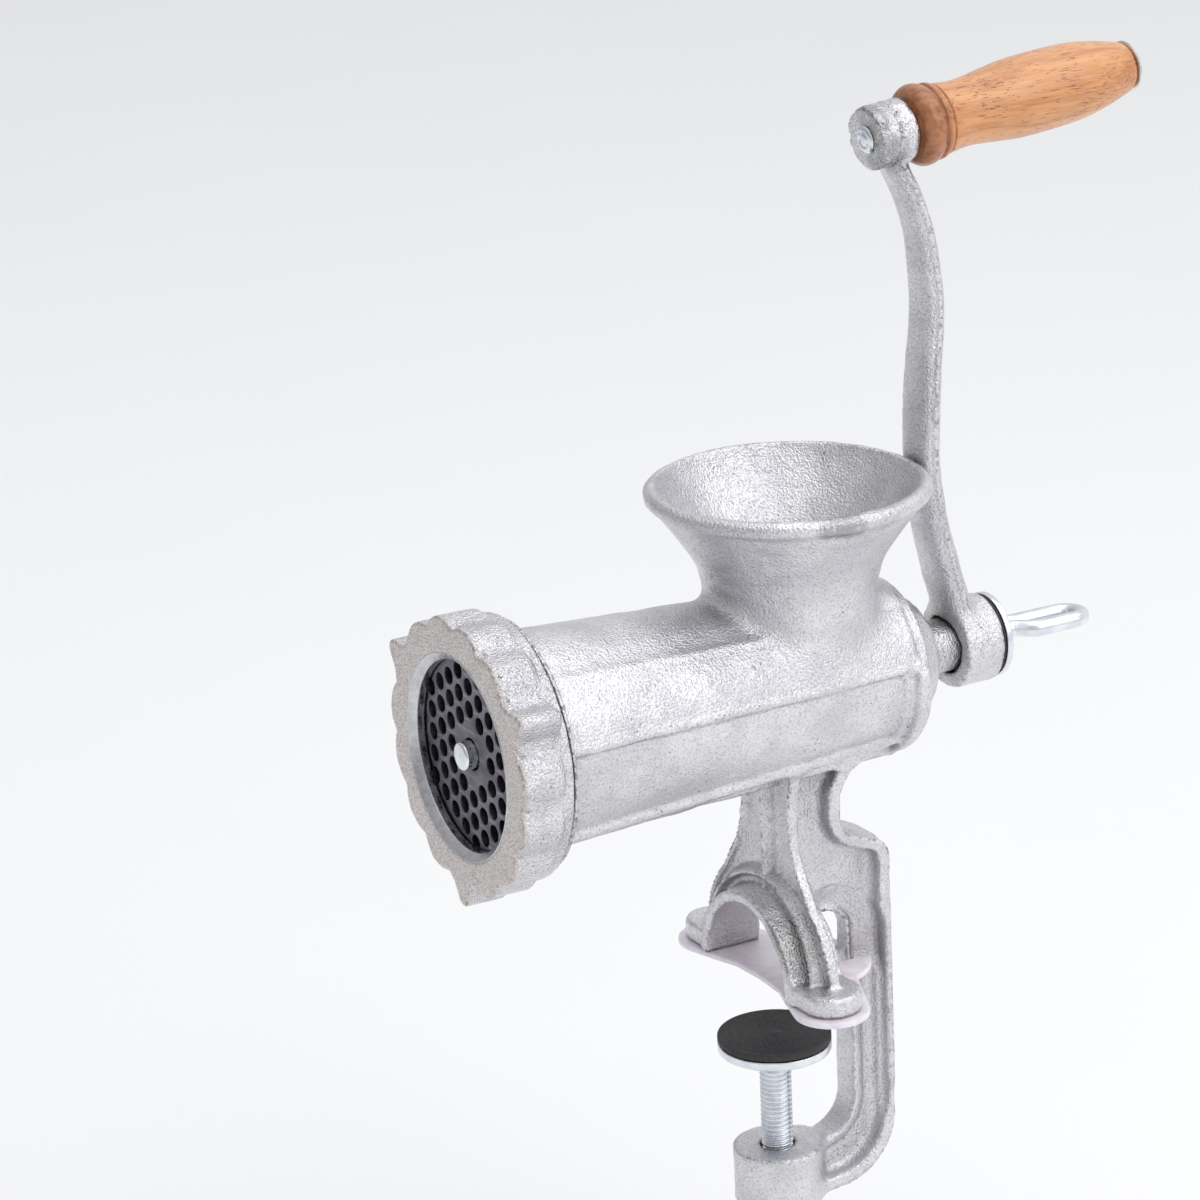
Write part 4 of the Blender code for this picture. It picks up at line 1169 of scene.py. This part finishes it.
class Look:
    """A material under construction: one Principled shader and the nodes that feed it."""

    def __init__(self, name, **values):
        self.material = bpy.data.materials.new(name)
        self.material.use_nodes = True
        self.tree = self.material.node_tree
        self.shader = self.tree.nodes["Principled BSDF"]
        for socket, value in values.items():
            self.shader.inputs[socket.replace("_", " ")].default_value = value
        self.place = self.add("ShaderNodeTexCoord").outputs["Object"]

    def add(self, kind, **settings):
        node = self.tree.nodes.new(kind)
        for setting, value in settings.items():
            setattr(node, setting, value)
        return node

    def feed(self, socket, source):
        if isinstance(source, bpy.types.NodeSocket):
            self.tree.links.new(source, socket)
        else:
            socket.default_value = source

    def set(self, name, source):
        self.feed(self.shader.inputs[name], source)

    def turned(self, centre, tilt=0.0, stretch=(1, 1, 1)):
        """Places counted from a centre in millimetres, turned about X and stretched."""
        moved = self.add("ShaderNodeVectorMath", operation="SUBTRACT")
        self.feed(moved.inputs[0], self.place)
        moved.inputs[1].default_value = [n * MM for n in centre]
        turned = self.add("ShaderNodeMapping", vector_type="POINT")
        self.feed(turned.inputs["Vector"], moved.outputs[0])
        turned.inputs["Rotation"].default_value = (-tilt, 0, 0)
        turned.inputs["Scale"].default_value = stretch
        return turned.outputs[0]

    def noise(self, size, detail=2.0, distortion=0.0, place=None):
        """Noise with features of about this many millimetres."""
        node = self.add("ShaderNodeTexNoise")
        self.feed(node.inputs["Vector"], place or self.place)
        node.inputs["Scale"].default_value = 1 / (size * MM)
        node.inputs["Detail"].default_value = detail
        node.inputs["Distortion"].default_value = distortion
        return node.outputs["Fac"]

    def along_y(self, place):
        node = self.add("ShaderNodeSeparateXYZ")
        self.feed(node.inputs[0], place)
        return node.outputs["Y"]

    def near(self, centre, reach):
        """1 at a place in millimetres, falling to 0 this far from it."""
        node = self.add("ShaderNodeVectorMath", operation="DISTANCE")
        self.feed(node.inputs[0], self.place)
        node.inputs[1].default_value = [n * MM for n in centre]
        return self.span(node.outputs["Value"], reach * MM, 0.5 * reach * MM)

    def rough(self, size, detail, low, high):
        """Patchy roughness between two values."""
        self.set("Roughness", self.span(self.noise(size, detail), 0.3, 0.7, low, high))

    def span(self, source, low, high, to_low=0.0, to_high=1.0):
        """A smooth step from one value to another as the source goes from low to high."""
        node = self.add("ShaderNodeMapRange", interpolation_type="SMOOTHSTEP")
        for socket, value in zip(node.inputs, (source, low, high, to_low, to_high)):
            self.feed(socket, value)
        return node.outputs["Result"]

    def maths(self, operation, a, b):
        node = self.add("ShaderNodeMath", operation=operation)
        self.feed(node.inputs[0], a)
        self.feed(node.inputs[1], b)
        return node.outputs[0]

    def times(self, a, b):
        return self.maths("MULTIPLY", a, b)

    def tint(self, share, a, b):
        """From colour a to colour b by the share."""
        node = self.add("ShaderNodeMix", data_type="RGBA")
        self.feed(node.inputs["Factor"], share)
        for socket, colour in ((MIX_FIRST, a), (MIX_SECOND, b)):
            self.feed(node.inputs[socket], (*colour, 1) if isinstance(colour, tuple) else colour)
        return node.outputs[MIX_RESULT]

    def edges(self, low, high):
        """1 on convex edges of the mesh and 0 elsewhere, or the other way when low is above high."""
        return self.span(self.add("ShaderNodeNewGeometry").outputs["Pointiness"], low, high)

    def hollows(self, reach, most):
        """Painted shade: up to the given share where the surface within this many millimetres closes
        round.
        """
        node = self.add("ShaderNodeAmbientOcclusion", samples=8)
        node.inputs["Distance"].default_value = reach * MM
        return self.span(node.outputs["AO"], 0.90, 0.15, 0.0, most)

    def relief(self, *layers):
        """Bump from pairs of a height source and its depth in millimetres."""
        normal = None
        for height, depth in layers:
            node = self.add("ShaderNodeBump")
            node.inputs["Distance"].default_value = depth * MM
            node.inputs["Strength"].default_value = 1.0
            self.feed(node.inputs["Height"], height)
            if normal:
                self.feed(node.inputs["Normal"], normal)
            normal = node.outputs["Normal"]
        self.set("Normal", normal)


TIN = ((0.67, 0.66, 0.69), (0.77, 0.765, 0.79))
# Colours of the sandy front: the sandy grain is the face's own, the darker warm tone is painted shade.
SAND_AND_SHADE = ((0.58, 0.54, 0.525), (0.74, 0.70, 0.685))
BETWEEN_GRAINS = (0.42, 0.41, 0.43)
RUBBED = (0.40, 0.39, 0.395)
# The next two colours are painted shade, for hollows and for creases.
HOLLOW_SHADE = (0.34, 0.315, 0.30)
CREASE_SHADE = (0.24, 0.23, 0.24)
PIT = (0.16, 0.15, 0.15)
CHIPPED = (0.13, 0.12, 0.12)


def casting_look(name, wear=0.0, relief=1.0, worn=(), sandy_shaded_front=None, gloss=0.0, shade=11.0):
    """Hot-tinned cast iron: bright, grainy, with painted shade in its crease lines, with pits and
    chipped edges.

    Wear chips more of the edges. Worn places are pairs of a centre and a reach, where rubbing left
    it smooth and darker. The front up to one Y can be sandy and dull, and its darker warm tint there
    is painted shade. Gloss is taken off the roughness, and shade is how far round the painted shade
    of hollow places looks, in millimetres.
    """
    look = Look(name, Metallic=1.0, IOR=2.2)
    grain = look.noise(0.68, 2.0)
    waves = look.noise(2.8, 1.0)
    fine = look.noise(0.45, 1.0)
    blotches = look.span(look.noise(14.0, 2.0), 0.35, 0.65)
    crowd = look.span(look.noise(9.0, 1.0), 0.50, 0.72, 0.0, 0.12)
    specks = look.maths("ADD", look.noise(0.8, 1.0, place=look.turned((7, 3, 5))), crowd)
    pits = look.span(specks, 0.79, 0.83)
    edge = look.edges(0.515 - wear, 0.57 - wear)
    chips = look.times(edge, look.span(look.noise(1.5, 3.0), 0.51, 0.58))
    # Painted shade: the colour darkens on concave creases of the mesh.
    crease_shade = look.edges(0.488, 0.44)
    colour = look.tint(blotches, *TIN)
    colour = look.tint(look.span(grain, 0.54, 0.30, 0.0, 0.55), colour, BETWEEN_GRAINS)
    rough = look.span(grain, 0.35, 0.65, 0.44 - gloss, 0.30 - gloss)
    # The front face is sandy and dull, and its darker warm tint is painted shade of a face turned from
    # the light.
    if sandy_shaded_front is not None:
        low, high = (sandy_shaded_front - 0.2) * MM, (sandy_shaded_front + 0.5) * MM
        front = look.span(look.along_y(look.place), high, low)
        colour = look.tint(front, colour, look.tint(look.span(grain, 0.35, 0.65), *SAND_AND_SHADE))
        rough = look.maths("ADD", rough, look.times(front, 0.12 + gloss))
    for centre, reach in worn:
        patch = look.times(look.near(centre, reach), look.span(waves, 0.30, 0.50, 0.3, 0.9))
        colour = look.tint(patch, colour, RUBBED)
        rough = look.times(rough, look.span(patch, 0.0, 1.0, 1.0, 0.35))
    # Painted shade: a darker colour where the surface closes round, from ambient occlusion.
    colour = look.tint(look.hollows(shade, 0.85), colour, HOLLOW_SHADE)
    # Painted shade in the creases; the pits and chipped edges are the casting's own marks.
    for mask, share, tint in ((crease_shade, 0.65, CREASE_SHADE), (pits, 0.75, PIT), (chips, 0.85, CHIPPED)):
        colour = look.tint(look.times(mask, share), colour, tint)
    look.set("Base Color", colour)
    look.set("Roughness", rough)
    look.relief((waves, 0.12 * relief), (grain, 0.42 * relief), (fine, 0.08), (pits, -0.15))
    return look.material


def machined_look(name, centre, base, rough):
    """Turned or ground steel, with fine tool marks round an axis along Y."""
    look = Look(name, Metallic=1.0, IOR=2.5)
    marks = look.add("ShaderNodeTexWave", wave_type="RINGS", rings_direction="Y")
    look.feed(marks.inputs["Vector"], look.turned(centre))
    marks.inputs["Scale"].default_value = 900
    marks.inputs["Distortion"].default_value = 1.5
    streaks = look.noise(2.0, 4.0)
    look.set("Base Color", look.tint(look.span(streaks, 0.3, 0.7), base, tuple(n * 0.82 for n in base)))
    look.rough(1.2, 3.0, rough - 0.06, rough + 0.10)
    look.relief((marks.outputs["Fac"], 0.015), (look.noise(0.5, 2.0), 0.02))
    return look.material


def zinc_look():
    """Bright zinc plate over drawn steel: bluish, nearly smooth, slightly patchy."""
    look = Look("zinc_plated_steel", Metallic=1.0, IOR=2.5)
    patches = look.span(look.noise(5.0, 3.0), 0.35, 0.65)
    worn = look.times(look.edges(0.55, 0.62), look.span(look.noise(1.0, 2.0), 0.45, 0.6))
    colour = look.tint(patches, (0.70, 0.73, 0.78), (0.82, 0.84, 0.87))
    look.set("Base Color", look.tint(look.times(worn, 0.5), colour, (0.32, 0.31, 0.31)))
    look.rough(1.6, 3.0, 0.16, 0.30)
    look.relief((look.noise(2.4, 2.0), 0.012), (look.noise(0.45, 1.0), 0.006))
    return look.material


def gunmetal_look():
    """Hardened dark steel with a faint violet cast, ground flat, with a painted highlight on the edges
    of its holes.
    """
    look = Look("dark_hardened_steel", Metallic=1.0, IOR=2.5)
    # Painted highlight: a lighter colour on the convex edges of the holes.
    edge = look.edges(0.52, 0.60)
    cloud = look.span(look.noise(7.0, 4.0), 0.3, 0.7)
    colour = look.tint(cloud, (0.105, 0.098, 0.120), (0.170, 0.160, 0.190))
    look.set("Base Color", look.tint(look.times(edge, 0.6), colour, (0.36, 0.35, 0.38)))
    look.rough(1.5, 4.0, 0.30, 0.46)
    scratches = look.noise(0.35, 2.0, place=look.turned((0, 0, AXIS_Z), stretch=(1, 1, 0.06)))
    look.relief((scratches, 0.012), (look.noise(0.8, 2.0), 0.02))
    return look.material


def wood_look():
    """Lacquered beech, stained orange-brown, with its grain and short dark pores along the grip."""
    look = Look("lacquered_wood", Coat_Weight=0.55, Coat_Roughness=0.12, IOR=1.5)
    eye = (0, EYE_Y, EYE_Z)
    along_grain = look.turned(eye, GRIP_TILT, (1, 0.055, 1))
    pore_place = look.turned(eye, GRIP_TILT, (1, 0.11, 1))
    bands = look.span(look.noise(3.8, 3.0, 0.7, place=along_grain), 0.30, 0.70)
    fibres = look.noise(0.7, 3.0, place=along_grain)
    crowd = look.span(look.noise(9.0, 1.0), 0.35, 0.65, 0.67, 0.60)
    pores = look.span(look.maths("SUBTRACT", look.noise(0.42, 1.0, place=pore_place), crowd), 0.0, 0.05)
    colour = look.tint(bands, (0.50, 0.19, 0.062), (0.72, 0.335, 0.130))
    colour = look.tint(look.span(fibres, 0.35, 0.75, 0.0, 0.35), colour, (0.82, 0.46, 0.22))
    colour = look.tint(look.times(pores, 0.75), colour, (0.27, 0.070, 0.018))
    neck = look.span(look.along_y(look.turned(eye, GRIP_TILT)), 18.5 * MM, 14.5 * MM)
    shades = look.span(look.noise(2.0, 3.0), 0.3, 0.7)
    dark = look.tint(shades, (0.17, 0.042, 0.012), (0.40, 0.125, 0.040))
    colour = look.tint(look.times(neck, 0.75), colour, dark)
    look.set("Base Color", colour)
    look.set("Roughness", look.span(fibres, 0.3, 0.7, 0.34, 0.48))
    look.relief((fibres, 0.03), (pores, -0.06))
    return look.material


def milky_look():
    """Soft translucent plastic, slightly lilac, with faint flow marks."""
    look = Look(
        "milky_plastic_pad",
        Subsurface_Weight=0.45,
        Subsurface_Scale=0.004,
        Subsurface_Radius=(1.0, 0.8, 0.9),
        IOR=1.5,
        Coat_Weight=0.1,
    )
    flow = look.span(look.noise(9.0, 3.0, 1.0), 0.3, 0.7)
    look.set("Base Color", look.tint(flow, (0.72, 0.67, 0.74), (0.84, 0.80, 0.86)))
    look.rough(1.8, 3.0, 0.30, 0.46)
    look.relief((look.noise(1.1, 2.0), 0.02))
    return look.material


def white_look():
    look = Look("white_thrust_plastic", IOR=1.5)
    look.set("Base Color", look.tint(look.noise(3.0, 3.0), (0.76, 0.76, 0.73), (0.86, 0.86, 0.84)))
    look.rough(0.8, 2.0, 0.36, 0.50)
    look.relief((look.noise(0.6, 2.0), 0.02))
    return look.material


def rubber_look():
    look = Look("black_rubber", IOR=1.5)
    dark, dusty = (0.012, 0.012, 0.013), (0.045, 0.043, 0.043)
    look.set("Base Color", look.tint(look.noise(1.5, 3.0), dark, dusty))
    look.rough(0.7, 2.0, 0.50, 0.72)
    look.relief((look.noise(0.35, 2.0), 0.03))
    return look.material


def floor_look():
    look = Look("pale_floor", Roughness=0.7)
    look.shader.inputs["Specular IOR Level"].default_value = 0.15
    look.set("Base Color", look.tint(look.noise(160.0, 2.0), (0.90, 0.90, 0.90), (0.92, 0.92, 0.92)))
    return look.material


# ---- studio

CAMERA_PLACE = (1054.9, -624.3, 534.4)
CAMERA_AZIMUTH = radians(61.54)
CAMERA_PITCH = radians(18.70)
CAMERA_ROLL = radians(-2.48)
CAMERA_LENS = 135.0
# Each soft box: its name, place, aim, size and radiance.
LIGHTS = (
    ("key", (1.4, 0.6, 1.1), (0.1, 0, 0.1), 1.3, 1.15),
    ("overhead", (0.3, 0.4, 1.8), (0, 0.1, 0), 2.1, 0.95),
)
FLOOR_HALF = 9.0
WORLD_BRIGHT_WAY = (0.30, 0.72, 0.62)
WORLD_STRENGTH = {"From Min": -0.70, "From Max": 0.60, "To Min": 0.34, "To Max": 0.92}


def make_camera():
    """The camera at the photograph's angle, rolled a little as it is there."""
    forward = Vector(
        (
            -sin(CAMERA_AZIMUTH) * cos(CAMERA_PITCH),
            cos(CAMERA_AZIMUTH) * cos(CAMERA_PITCH),
            -sin(CAMERA_PITCH),
        )
    )
    right = Vector((cos(CAMERA_AZIMUTH), sin(CAMERA_AZIMUTH), 0))
    up = right.cross(forward)
    rolled_right = cos(CAMERA_ROLL) * right + sin(CAMERA_ROLL) * up
    rolled_up = cos(CAMERA_ROLL) * up - sin(CAMERA_ROLL) * right
    data = bpy.data.cameras.new("camera")
    data.lens = CAMERA_LENS
    data.clip_start = 0.05
    data.clip_end = 50.0
    camera = new_object("camera", data)
    camera.matrix_world = Matrix.Translation(Vector(CAMERA_PLACE) * MM) @ Matrix(
        (rolled_right, rolled_up, -forward)
    ).transposed().to_4x4()
    bpy.context.scene.camera = camera


def make_light(name, place, aim, size, radiance):
    """A square soft box; places are metres."""
    data = bpy.data.lights.new(name, "AREA")
    data.size = size
    data.energy = radiance * pi * size * size
    light = new_object(name, data)
    light.location = place
    way = Vector(aim) - Vector(place)
    light.rotation_euler = way.to_track_quat("-Z", "Y").to_euler()


def make_world():
    """Pale surroundings, brightest high up behind the crank and dimmest low before the mouth."""
    world = bpy.data.worlds.new("studio")
    world.use_nodes = True
    bpy.context.scene.world = world
    tree = world.node_tree
    facing = tree.nodes.new("ShaderNodeVectorMath")
    facing.operation = "DOT_PRODUCT"
    facing.inputs[1].default_value = WORLD_BRIGHT_WAY
    tree.links.new(tree.nodes.new("ShaderNodeTexCoord").outputs["Generated"], facing.inputs[0])
    strength = tree.nodes.new("ShaderNodeMapRange")
    tree.links.new(facing.outputs["Value"], strength.inputs["Value"])
    for socket, value in WORLD_STRENGTH.items():
        strength.inputs[socket].default_value = value
    background = tree.nodes["Background"]
    tree.links.new(strength.outputs[0], background.inputs["Strength"])
    background.inputs["Color"].default_value = (0.97, 0.98, 1.0, 1)


def make_floor(low_z):
    shape = bmesh.new()
    bmesh.ops.create_grid(shape, x_segments=8, y_segments=8, size=FLOOR_HALF)
    mesh = bpy.data.meshes.new("studio_floor")
    shape.to_mesh(mesh)
    shape.free()
    floor = new_object("studio_floor", mesh)
    floor.location.z = low_z
    mesh.materials.append(floor_look())


# ---- building

looks = {
    "cast": casting_look("tinned_cast_iron", worn=WORN_PLACES),
    "cast_nut": casting_look(
        "tinned_cast_iron_nut", relief=1.8, sandy_shaded_front=NUT_FACE_Y + 1.3, gloss=0.10, shade=5.0
    ),
    "cast_crank": casting_look("tinned_cast_iron_crank", 0.012, 1.2, CRANK_WORN_PLACES),
    "steel": machined_look("machined_steel", (0, 0, AXIS_Z), (0.62, 0.62, 0.64), 0.28),
    "zinc": zinc_look(),
    "dark": gunmetal_look(),
    "wood": wood_look(),
    "milky": milky_look(),
    "white": white_look(),
    "rubber": rubber_look(),
}
make_housing(looks["cast"])
make_ring_nut(looks["cast_nut"], looks["steel"])
make_crank(looks["cast_crank"])
make_auger(looks["cast"])
make_plate(looks["dark"])
make_pin(looks["zinc"], looks["steel"])
make_turned_parts(looks)
make_eye_screw(looks["zinc"])
make_clamp(looks)
make_grip(looks)
make_foot_pad(looks["milky"])
for node in ("knife", "plate_key"):
    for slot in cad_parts[node].material_slots:
        slot.material = looks["steel"]

make_camera()
make_world()
for light in LIGHTS:
    make_light(*light)
bpy.context.scene.view_settings.view_transform = "Standard"

visual_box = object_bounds()
make_floor(float(visual_box[0][2]))
